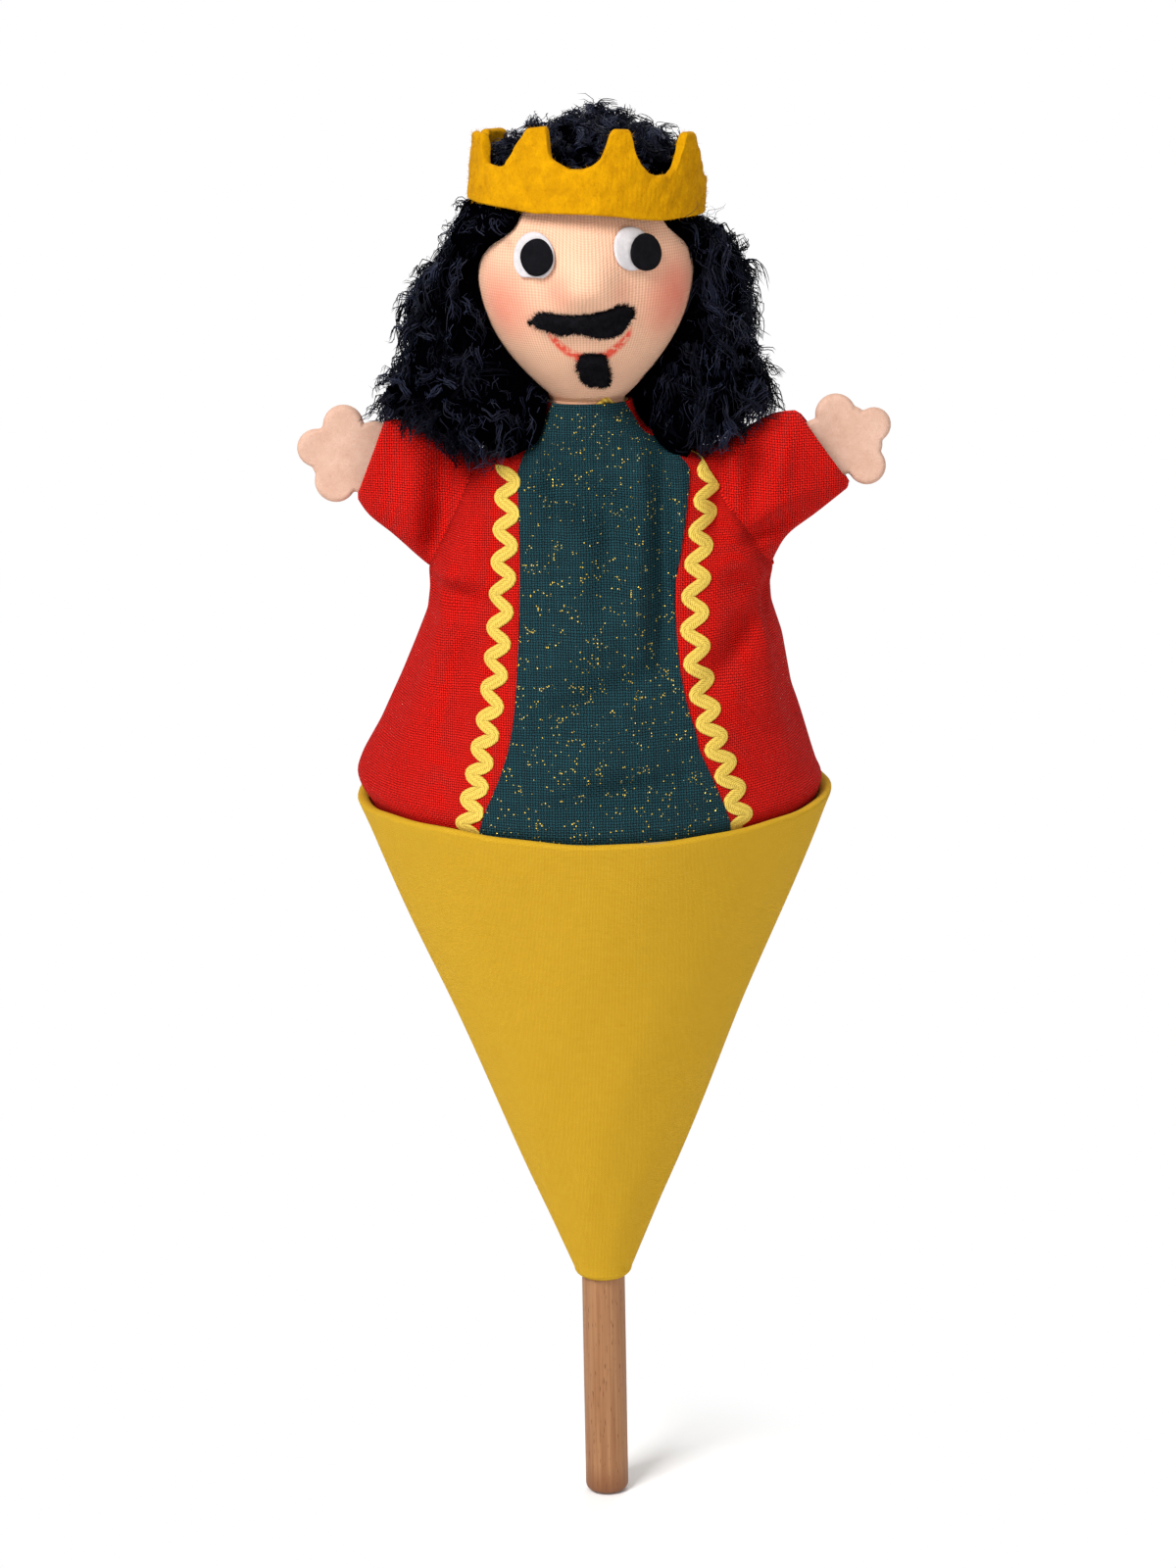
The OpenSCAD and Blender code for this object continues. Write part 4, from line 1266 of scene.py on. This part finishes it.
def goatee():
    """A small black felt tuft on the chin."""
    xs = np.linspace(-2.0, 5.2, 30)
    high = np.interp(xs, [-2, -1.6, 0, 3.9, 4.7, 5.2], [297, 298.5, 299, 298.9, 297.6, 295])
    low = np.interp(xs, [-2, -1.6, -0.9, 1, 3.8, 4.9, 5.2],
                    [295.1, 293.9, 291.7, 290.9, 290.4, 290.7, 291.4])
    made = flocked("goatee_felt", *strip(xs, low, high, 1.6, 9), 500, 31)
    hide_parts("goatee")


moustache()
goatee()


# Neck thread

def neck_thread():
    """The thread that ties the jersey. It lies behind the collar, and its knot peeps over the edge."""
    cols, around = 120, 10
    turn = np.radians(np.arange(cols) * 360 / cols)[:, None]
    thick = np.radians(np.arange(around) * 360 / around)[None, :]
    # The knot is 27 degrees to the right of the front, and swells the thread over 11 degrees each way
    from_knot = np.degrees(np.abs(np.angle(np.exp(1j * (turn - math.radians(27))))))
    knot = np.exp(-(from_knot / 11) ** 2)
    thread_r = 0.5 * (1 + 0.6 * knot)
    r = NECK_R + 0.6 + thread_r * np.cos(thick)
    z = COLLAR_Z - 0.7 + 1.5 * knot + thread_r * np.sin(thick)
    grid = round_rod(r, turn, z)
    closed = sheet_faces(cols + 1, around, ring=True) % (cols * around)
    made = piece("neck_thread_twist", grid, closed[:, ::-1], THREAD)
    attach(made, "puppet")
    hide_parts("neck_thread")


neck_thread()


# Crown

# The crown's outer radius, the height of its lower edge, the felt's thickness, how far the ring is
# tilted down to the right, and how far it sits to the right of the rod
CROWN_R = 28.8
CROWN_Z = 332.6
CROWN_T = 2.3
CROWN_TILT = math.radians(4.4)
CROWN_SHIFT = 0.8
# The hand-cut upper edge: angle from the front, and height above the lower edge
CROWN_EDGE = [(-98, 9.4), (-92.5, 11), (-90, 15.7), (-87, 16.4), (-68.5, 16.8), (-66.4, 15.6),
              (-65, 12), (-63, 10), (-53, 9.5), (-47, 10), (-45, 11.6), (-41.3, 14.6), (-35.4, 18.4),
              (-34.2, 19.4), (-23.6, 20.4), (-22.6, 19.2), (-21.4, 14.8), (-19.4, 12.9), (-14.8, 11.8),
              (-10.8, 10.9), (-7, 10.9), (-3.2, 11.1), (1.3, 12.1), (5, 13.9), (6.6, 16.2), (8.4, 19.7),
              (10.2, 20.8), (18.4, 20.8), (19.8, 19.4), (21.6, 15.6), (25.5, 12.8), (30, 10.7),
              (34.5, 10.1), (41.1, 10.4), (46.5, 12.4), (49.4, 16), (51, 19.2), (52.8, 20.2),
              (62, 20.2), (64.5, 18), (69.2, 14), (75.8, 10.2), (84.7, 8.8), (98, 9), (110, 11),
              (113.5, 15), (116, 16), (126, 16), (128.5, 13), (134, 10), (141, 9.6), (148, 11),
              (151, 14.4), (153, 15.4), (164, 15.4), (167, 12.6), (174, 10.4), (181, 9.8), (188, 11),
              (191, 13.6), (193, 14.5), (203, 14.5), (206, 12.4), (212, 10.4), (222, 9.8), (227, 10.6),
              (230, 14.4), (232.5, 16), (249, 16), (251, 14.5), (254, 11), (258, 9.7), (262, 9.4)]
# How far the lower edge sags: angle, and drop
CROWN_SAG = [(-180, 0), (-45, 0), (-38, 0.1), (-27, 0.4), (-18, 0), (0, -0.4), (15, -0.2), (28, 0.35),
             (40, 0.6), (52, 0.1), (62, 0), (180, 0)]


def crown_edge(angle):
    """Height of the crown's upper edge at angles in degrees."""
    at, height = np.array(CROWN_EDGE, float).T
    first = at[0]
    return np.interp((angle - first) % 360 + first, at, height)


def crown():
    """The felt strip, joined to a ring, with its cut points and its loose fibres."""
    cols = 900
    angle = np.arange(cols) * 360 / cols - 180
    # Scissors and wear round the corners
    top = soften(crown_edge(angle), 5)
    sag = soften(np.interp(angle, *np.array(CROWN_SAG).T), 40)
    soft = CROWN_T / 2
    turn = np.radians(angle)
    wave = 0.35 * np.sin(3 * turn + 0.6) + 0.25 * np.sin(5 * turn + 2.0)

    def ring(height, depth):
        flare = 0.3 * smooth((height - 12) / 9) * np.sin(9 * turn + 1.0)
        r = CROWN_R - 0.02 * height - depth + wave * 0.6 + flare
        return round_rod(r, turn, height - sag * smooth(1 - height / 9))

    # Up the outer face, over the upper edge, down the inner face and round the lower edge
    foot = 0.6
    walls = [foot + (top - soft * 0.8 - foot) * share for share in np.linspace(0, 1, 22)]
    rows = [ring(wall, 0.0) for wall in walls]
    for a in np.radians(np.linspace(15, 165, 9)):
        rows.append(ring(top - soft * 0.8 * (1 - math.sin(a)), soft * (1 - math.cos(a))))
    rows += [ring(wall, CROWN_T) for wall in reversed(walls)]
    for a in np.radians(np.linspace(15, 165, 7)):
        rows.append(ring(foot - foot * math.sin(a), CROWN_T - soft * (1 - math.cos(a))))
    grid = np.array([np.broadcast_to(r, (cols, 3)) for r in rows])
    bumpy = 0.18 * wander(grid, 5.0, 71) + 0.07 * wander(grid, 1.4, 72)
    grid = grid + round_rod(1, turn, 0)[None] * bumpy[..., None]
    tilt = np.array(Matrix.Rotation(CROWN_TILT, 3, "Y"))
    grid = grid @ tilt.T + [CROWN_SHIFT, 0, CROWN_Z]
    count = len(grid)
    faces = sheet_faces(count + 1, cols, ring=True) % (count * cols)
    rng = np.random.default_rng(77)
    points = grid.reshape(-1, 3)
    flat = stack(np.broadcast_to(turn * CROWN_R, grid.shape[:2]), grid[..., 2], 0)
    made = piece("crown_felt_ring", points, faces, CROWN_FELT,
                 {"flat": flat.reshape(-1, 3)}, sharp=0)
    place, normal = scatter(points, faces, 5200, rng)
    fibres, faces = strands(fuzz_lines(place, normal, 0.8, rng, lean=1.4), 0.035, 78)
    fuzz = piece("crown_felt_fuzz", fibres, faces, CROWN_FELT, sharp=0)
    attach(made, "puppet")
    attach(fuzz, "puppet")
    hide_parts("crown")
    declare_cloth(made)


crown()


# Wig

# How far the hair stands out at the sides, from the photograph's outline: height, left, right
HAIR_SIDES = [(268, 24, 22), (272.5, 28, 28), (276, 35, 35), (279, 42, 39), (282, 47, 41), (286, 50, 43),
              (290, 48, 43), (294, 45.5, 41), (299, 43.5, 39.5), (304, 44, 39.5), (309, 43.5, 40),
              (313, 40.5, 38.8), (318, 37, 38), (323, 34, 34.5), (328, 30.6, 31), (331.5, 28.6, 28.4),
              (334, 26, 26)]
# The angle from the front at which the hair begins: height, left, right
HAIR_FRONT = [(270, 52, 62), (277, 46, 60), (286, 49, 66), (290.5, 59, 67), (297, 68, 71), (304, 71.5, 73),
              (317, 73, 76), (321.6, 67, 72), (325, 57, 63), (327, 47, 56), (329, 40, 52), (333, 36, 48)]
# The height of the ground's lower edge: angle from the front, left, right
HAIR_FOOT = [(42, 278.5, 279.5), (47, 276.5, 279), (56, 273.2, 277), (62, 273.4, 273.2), (68, 275, 272),
             (76, 277.4, 273.6), (84, 279, 276.4), (92, 279.6, 278.6), (100, 277.5, 277.5),
             (108, 273.5, 273.5), (116, 272, 272), (180, 273, 273)]
# The lowest that hairs hang in front of the shoulders, along x
HAIR_TIPS = [(-60, 280), (-49, 281.2), (-38, 277.4), (-33, 272.6), (-24, 270.8), (-14, 275.4), (-8, 284),
             (8, 284), (13, 282), (18, 275.4), (24, 271.6), (28, 272), (32, 274.4), (38, 276.4),
             (43.3, 279), (55, 281)]
# The room for the head, collar and shoulders inside the hair: height, and radius on the left and right
HAIR_INSIDE = [(270, 30, 30), (272.5, 25, 25), (274.5, 20.5, 21), (276, 18, 19.5), (278, 16, 18),
               (282, 14, 16.8), (286, 13, 16.2), (290, 10, 14.6), (295, 8, 11), (300, 5, 5)]
# The hair begins under the crown at this height. It is widest at this angle from the front, and a side
# lock meets a back lock at the next.
WIG_TOP_Z = 333.6
WIG_WIDEST = 92
WIG_SIDE = 116


def curve(rows, side, at):
    """A side's value between the rows of a list. A list with one column is the same for both sides."""
    rows = np.array(rows, float)
    column = 1 if side < 0 else rows.shape[1] - 1
    return np.interp(at, rows[:, 0], rows[:, column])


def hair_backing(side, low, cols):
    """Outer and inner grid of a lock's lumpy ground. Its angles go from low, or from the hairline
    where low is none, to the next lock."""
    high = WIG_SIDE if low is None else 180
    first = 60 if low is None else low
    share = np.linspace(0, 1, cols)[None, :]
    down = np.linspace(0, 1, 58)[:, None]
    # The foot's height hangs on the angle, and the angle on the height, so both are found step by step
    angle = first + share * (high - first)
    for _ in range(4):
        foot = curve(HAIR_FOOT, side, angle)
        z = WIG_TOP_Z - (WIG_TOP_Z - foot) * down
        start = curve(HAIR_FRONT, side, z) if low is None else low + 0 * z
        angle = start + (high - start) * share
    hairline = curve(HAIR_FRONT, side, z)
    room = np.maximum(skull_r(z) + 0.4, curve(HAIR_INSIDE, side, z))
    wide = curve(HAIR_SIDES, side, z) - 0.6
    wide = wide * (1 - 0.1 * smooth((angle - WIG_WIDEST) / 60))
    u = np.clip((angle - hairline) / (WIG_WIDEST - hairline), 0, 1)
    r = room + 0.5 + np.clip(wide - room - 0.5, 0.6, None) * np.sqrt(np.clip(1 - (1 - u) ** 2.3, 0, 1))
    # The lock is rounded off along its foot and under the crown
    foot_round = np.sqrt(np.clip(1 - np.clip((down - 0.86) / 0.14, 0, 1) ** 2.2, 0, 1))
    r = room + (r - room) * (0.12 + 0.88 * foot_round)
    turn = np.radians(angle) * side
    # Its upper end slants with the crown
    tilt = -r * np.sin(turn) * math.tan(CROWN_TILT) * smooth((z - 326) / 6)
    grid = round_rod(r, turn, z + tilt)
    inner = round_rod(room, turn, z + tilt * 0.8)
    away = unit(round_rod(1, turn, 0.1))
    lump = 1.5 * wander(grid, 12, 55) + 1.1 * wander(grid, 5.5, 56) + 0.7 * wander(grid, 2.8, 57)
    grid = grid + away * (lump * smooth(down * 9) * smooth(u * 5) * (0.3 + 0.7 * foot_round))[..., None]
    if side < 0:
        grid, inner = grid[:, ::-1], inner[:, ::-1]
    return grid[::-1], inner[::-1]


def tufts(place, normal, rng, per=8, long=(7.5, 13.0), steps=10, lift=0.24, sag=0.85):
    """Middle lines of curled hairs, and their tones. The hairs of a tuft start side by side and lean
    together."""
    count = len(place)
    down = np.array([0, 0, -1.0])
    swirl = np.stack([wander(place, 12, k) for k in (101, 102, 103)], axis=1)
    fine = np.stack([wander(place, 5, k) for k in (111, 112, 113)], axis=1)
    way = unit(normal * lift + down * sag + swirl * 0.85 + fine * 0.45 + 0.2 * rng.normal(size=(count, 3)))
    aside = unit(np.cross(way, normal + 0.2 * rng.normal(size=(count, 3))))
    other = np.cross(way, aside)
    t = np.linspace(0, 1, steps)[None, None, :, None]

    def each(values):
        return values.reshape(count, -1, 1, 1)

    reach = each(rng.uniform(*long, count)) * each(rng.uniform(0.65, 1.1, (count, per)))
    wave = each(rng.uniform(0.5, 1.4, count)) * each(rng.uniform(0.7, 1.3, (count, per)))
    spin = each(rng.uniform(5.0, 11.0, count) * rng.choice([-1, 1], count))
    spin = spin * each(rng.uniform(0.8, 1.25, (count, per)))
    phase = each(rng.uniform(0, 2 * math.pi, count)) + each(rng.normal(0, 0.45, (count, per)))
    bow = each(rng.uniform(-0.5, 0.5, count))
    off_a, off_b = (each(rng.normal(0, 0.6, (count, per))) for _ in range(2))
    aside, other, way = aside[:, None, None], other[:, None, None], way[:, None, None]
    out = normal[:, None, None]
    line = place[:, None, None] + way * reach * t
    line = line + (aside * bow + down * 0.25 - out * 0.16) * reach * t ** 2
    line = line + (aside * off_a + other * off_b) * (1 - 0.55 * t) + aside * off_b * 0.5 * t ** 2
    turn = phase + spin * t
    curl = aside * (np.cos(turn) - np.cos(phase)) + other * (np.sin(turn) - np.sin(phase))
    line = line + wave * smooth(t * 2) * curl
    # Whole tufts are paler or darker, and the hairs in each differ a little
    tone = np.repeat(rng.random(count) ** 1.6, per) * rng.uniform(0.7, 1.15, count * per) + 0.06
    return line.reshape(count * per, steps, 3), tone


def wisp(start, way, long, ring, turns):
    """One long stray hair that ends in a curl."""
    way = unit(np.array(way, float))
    aside = unit(np.cross(way, [0.1, 1, 0.2]))
    other = np.cross(way, aside)
    t = np.linspace(0, 1, 26)[:, None]
    angle = 2 * math.pi * turns * t ** 1.5
    size = ring * smooth(t * 1.6)
    return (np.array(start, float) + way * long * (t - 0.35 * t ** 2) + size * (np.cos(angle) - 1) * aside
            + size * np.sin(angle) * other + [0, 0, -0.1 * long] * t ** 2)


# From the inside of the crown's felt to its outside, with room for its waves
CROWN_ROOM = (25.3, 30.2)


def settled(lines, tones, face=True):
    """Lays hairs on the head, and keeps those that neither pass through the crown nor hang over the
    face. Hairs of the top tuft, where face is false, stay above the crown's lower edge."""
    x, y, z = lines[..., 0], lines[..., 1], lines[..., 2]
    r = np.hypot(x, y)
    least = np.where((z > 288) & (z < CROWN_Z), skull_r(z) + 0.3, 0)
    push = np.maximum(least / np.maximum(r, 1), 1)
    lines = lines * stack(push, push, 1)
    edge = CROWN_Z - x * math.tan(CROWN_TILT)
    bad = (r > CROWN_ROOM[0]) & (r < CROWN_ROOM[1]) & (z > edge - 0.2) & (z < edge + 20)
    # A hair that would have to be pushed out by more than this share runs deep in the head
    bad |= push > 1.12
    if face:
        front = np.degrees(np.arctan2(np.abs(x), -y))
        start = np.where(x < 0, curve(HAIR_FRONT, -1, z), curve(HAIR_FRONT, 1, z))
        bad |= front < start - 5
        # Two hairs in five keep above the tips' line, and the others may hang 1.5 mm under it
        below = (curve(HAIR_TIPS, -1, x) - z) * (y < 4)
        bad |= (below > 1.5) | ((below > 0) & (np.arange(len(lines)) % 5 > 2)[:, None])
    else:
        bad |= z < edge + 0.5
    keep = ~bad.any(axis=1)
    return lines[keep], tones[keep]


def plush(name, backing, groups, seed, replaced):
    """One piece of the wig: its ground, and groups of hairs with their tones and thickness."""
    rng = np.random.default_rng(seed)
    # The ground has tone 0, so it is painted near black as the shade deep in the pile
    parts = [(*backing, 0.0)]
    for (lines, tones), size in groups:
        made = strands(lines, rng.uniform(0.75, 1.25, len(lines)) * size, seed + 1)
        parts.append((*made, np.repeat(tones, lines.shape[1] * len(THIRDS))))
    points, faces, tones = join(parts)
    made = piece(name, points, faces, PLUSH, {"tone": tones}, sharp=0)
    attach(made, "puppet")
    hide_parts(replaced)
    return made


# Long hairs that curl up over the crown's edge: start, direction, length, size of the curl, turns
LOOPS = {
    -1: [((-30.6, -6, 330), (-0.15, -0.2, 1), 8, 1.0, 0.5),
         ((-31.4, -5, 329), (-0.05, -0.2, 1), 7, 1.5, 0.6),
         ((-31, -7, 329), (-0.3, -0.2, 1), 6, 1.2, 0.7)],
    1: [((29.4, -12, 330.4), (0.1, -0.3, 1), 7, 2.0, 0.55),
        ((24.6, -18.4, 330.2), (-0.5, -0.4, 1), 6, 2.2, 0.6),
        ((31.5, -4, 329), (0.2, 0, 1), 6, 0.8, 0.6),
        ((27.5, -15.4, 330), (0.3, -0.4, 1), 7, 1.4, 0.8)],
}


def fringe(side, rng, count):
    """Single curled hairs that stand out from the sides and over the crown's edge."""
    out = [wisp(*loop) for loop in LOOPS[side]]
    for _ in range(count):
        z = rng.uniform(277, 330)
        wide = curve(HAIR_SIDES, side, z) - 1.5
        turn = math.radians(rng.uniform(80, 104))
        start = (side * wide * math.sin(turn), -wide * math.cos(turn), z)
        way = (side, rng.uniform(-0.3, 0.1), rng.uniform(-1.2, 0.5))
        out.append(wisp(start, way, rng.uniform(3, 5.5), rng.uniform(0.7, 1.6), rng.uniform(0.6, 1.4)))
    return np.array(out)


# Radii of the hairs: long ones, short ones and single stray ones
HAIR_R = 0.19
SHORT_R = 0.12
STRAY_R = 0.085


def lock(name, side, low, cols, count, fluff, seed, replaced):
    """One lock of the wig: its ground and hairs, with a mesh of its own."""
    rng = np.random.default_rng(seed)
    grid, inner = hair_backing(side, low, cols)
    rows = len(grid)
    faces = slab_faces(rows, cols)
    points = both_faces(grid, inner)
    skin = (rows - 1) * (cols - 1)
    # Hairs grow from the outer face and from the foot, not from the side on the head
    foot = faces[2 * skin:2 * skin + cols - 1]
    place, normal = scatter(points, np.concatenate([faces[:skin], foot]), count, rng)
    hairs = settled(*tufts(place, normal, rng))
    place, normal = scatter(points, faces[:skin], fluff, rng)
    short = settled(*tufts(place, normal, rng, per=2, long=(3.0, 6.0), steps=6, lift=0.3, sag=0.7))
    groups = [(hairs, HAIR_R), (short, SHORT_R)]
    if low is None:
        stray = fringe(side, rng, 42)
        groups.append(((stray, np.full(len(stray), 0.5)), STRAY_R))
    made = plush(name, (points, faces), groups, seed + 5, replaced)
    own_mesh(made)


lock("wig_left_plush", -1, None, 46, 420, 600, 201, "wig_left")
lock("wig_right_plush", 1, None, 46, 420, 600, 202, "wig_right")
lock("wig_back_right_plush", 1, WIG_SIDE, 40, 230, 300, 203, "wig_back")
lock("wig_back_left_plush", -1, WIG_SIDE, 40, 230, 300, 204, "wig_back")


def wig_top():
    """The tuft that stands out of the crown."""
    rng = np.random.default_rng(205)
    cols, steps = 80, 34
    turn = np.radians(np.arange(cols) * 360 / cols)[None, :]
    rim, foot, dome, rise = 26.0, 335.6, 341, 12.8
    # A straight wall inside the crown, then a dome whose top lies a little to the right
    wall = 0.3
    share = np.linspace(0, 1, steps)[:, None]
    up = (share - wall) / (1 - wall)
    r = np.where(share < wall, rim, rim * np.sqrt(np.clip(1 - up ** 2, 0, 1)) + 0.02)
    z = np.where(share < wall, foot + (dome - foot) * share / wall, dome + rise * (1 - (r / rim) ** 1.7))
    x = r * np.sin(turn) + CROWN_SHIFT + 2.2 * smooth((z - dome) / 8)
    y = -r * np.cos(turn)
    grid = stack(x, y, z - x * math.tan(CROWN_TILT) * 0.7)
    lump = 0.9 * wander(grid, 10, 61) + 0.6 * wander(grid, 5, 62)
    grid = grid + unit(stack(x * 0.6, y * 0.6, 14)) * (lump * smooth((share - 0.25) * 4))[..., None]
    inner = stack(x * 0.35, y * 0.35, 350.6 + 0 * z + 0.4 * share)
    faces = slab_faces(steps, cols, ring=True)
    points = both_faces(grid, inner)
    skin = faces[:(steps - 1) * cols]
    place, normal = scatter(points, skin, 430, rng)
    hairs = settled(*tufts(place, normal, rng, long=(5.0, 8.5), lift=0.45, sag=-0.1), face=False)
    hairs = hairs[0], hairs[1] * 1.3 + 0.1
    place, normal = scatter(points, skin, 600, rng)
    short = tufts(place, normal, rng, per=2, long=(2.5, 4.5), steps=6, lift=0.8, sag=0.0)
    short = settled(*short, face=False)
    stray = []
    for _ in range(16):
        x, lean = rng.uniform(-11, 13), rng.uniform(-0.5, 0.5)
        start = (x, -6, 352.4 - 0.022 * (x - 2) ** 2)
        stray.append(wisp(start, (lean + x / 20, -0.2, 1), rng.uniform(3, 4.5), rng.uniform(1, 1.8),
                          rng.uniform(0.6, 1.0)))
    stray = np.array(stray), np.full(len(stray), 0.5)
    plush("wig_top_plush", (points, faces), [(hairs, 0.17), (short, 0.11), (stray, STRAY_R)], 206, "wig_top")


wig_top()


# Camera, lamps and ground

def look_from():
    """The photograph's viewpoint: the puppet leans a little to the left in it."""
    pitch, roll = math.radians(13.5), math.radians(-1.07)
    distance, aside, height = 1050, -1.6, 188.5
    data = bpy.data.cameras.new("camera")
    data.sensor_width = 36
    data.lens = 96.4
    camera = add_object("camera", data)
    place = Matrix.Translation((aside * MM, -distance * math.cos(pitch) * MM,
                                (height + distance * math.sin(pitch)) * MM))
    camera.matrix_world = (place @ Matrix.Rotation(math.radians(90) - pitch, 4, "X")
                           @ Matrix.Rotation(roll, 4, "Z"))
    bpy.context.scene.camera = camera


def lamp(name, place, aim, size, power):
    """A soft square lamp, with places in metres."""
    data = bpy.data.lights.new(name, "AREA")
    data.shape = "SQUARE"
    data.size = size
    data.energy = power
    made = add_object(name, data)
    made.location = place
    way = np.array(aim, float) - np.array(place, float)
    across = unit(np.cross(way, [0, 0, 1.0]))
    turn = np.column_stack([across, unit(np.cross(across, way)), -unit(way)])
    made.rotation_euler = Matrix(turn.tolist()).to_euler()


def ground():
    """A pale floor that turns to plain white away from the puppet, and a white world."""
    material = bpy.data.materials.new("pale floor")
    material.use_nodes = True
    tree = material.node_tree
    tree.nodes.clear()
    place = put(tree, "NewGeometry", out="Position")
    away = put(tree, "VectorMath", {0: place}, out="Value", operation="LENGTH")
    far = put(tree, "MapRange", {"Value": away, "From Min": 0.012, "From Max": 0.075},
              interpolation_type="SMOOTHSTEP")
    paint = put(tree, "BsdfDiffuse", {"Color": (0.93, 0.93, 0.93, 1)})
    plain = put(tree, "Emission", {"Color": (1, 1, 1, 1), "Strength": 1.0})
    seen = put(tree, "LightPath", out="Is Camera Ray")
    share = put(tree, "Math", {0: far, 1: seen}, operation="MULTIPLY")
    mixed = put(tree, "MixShader", {0: share, 1: paint, 2: plain})
    put(tree, "OutputMaterial", {"Surface": mixed})
    mesh = bpy.data.meshes.new("floor")
    reach = 12.0
    corners = [(x * reach, y * reach, -0.0002) for x, y in ((-1, -1), (1, -1), (1, 1), (-1, 1))]
    mesh.from_pydata(corners, [], [(0, 1, 2, 3)])
    mesh.materials.append(material)
    floor = add_object("floor", mesh)
    world = bpy.data.worlds.new("white room")
    bpy.context.scene.world = world
    world.use_nodes = True
    tree = world.node_tree
    tree.nodes.clear()
    rays = put(tree, "LightPath", out="Is Camera Ray").node
    shown = put(tree, "Math", {0: rays.outputs["Is Camera Ray"], 1: rays.outputs["Is Transmission Ray"]},
                operation="MAXIMUM")
    strength = put(tree, "Mix", {0: shown, 2: 0.44, 3: 1.0})
    sky = put(tree, "Background", {"Color": (1, 1, 1, 1), "Strength": strength})
    put(tree, "OutputWorld", {"Surface": sky})


look_from()
ground()
lamp("key", (-0.55, -0.78, 1.1), (0, 0, 0.22), 0.5, 18.5)
lamp("fill", (0.8, -0.85, 0.4), (0, 0, 0.2), 0.8, 2.6)
lamp("back", (0.2, 0.9, 0.9), (0, 0, 0.25), 0.6, 4)
view = bpy.context.scene.view_settings
view.view_transform = "Standard"
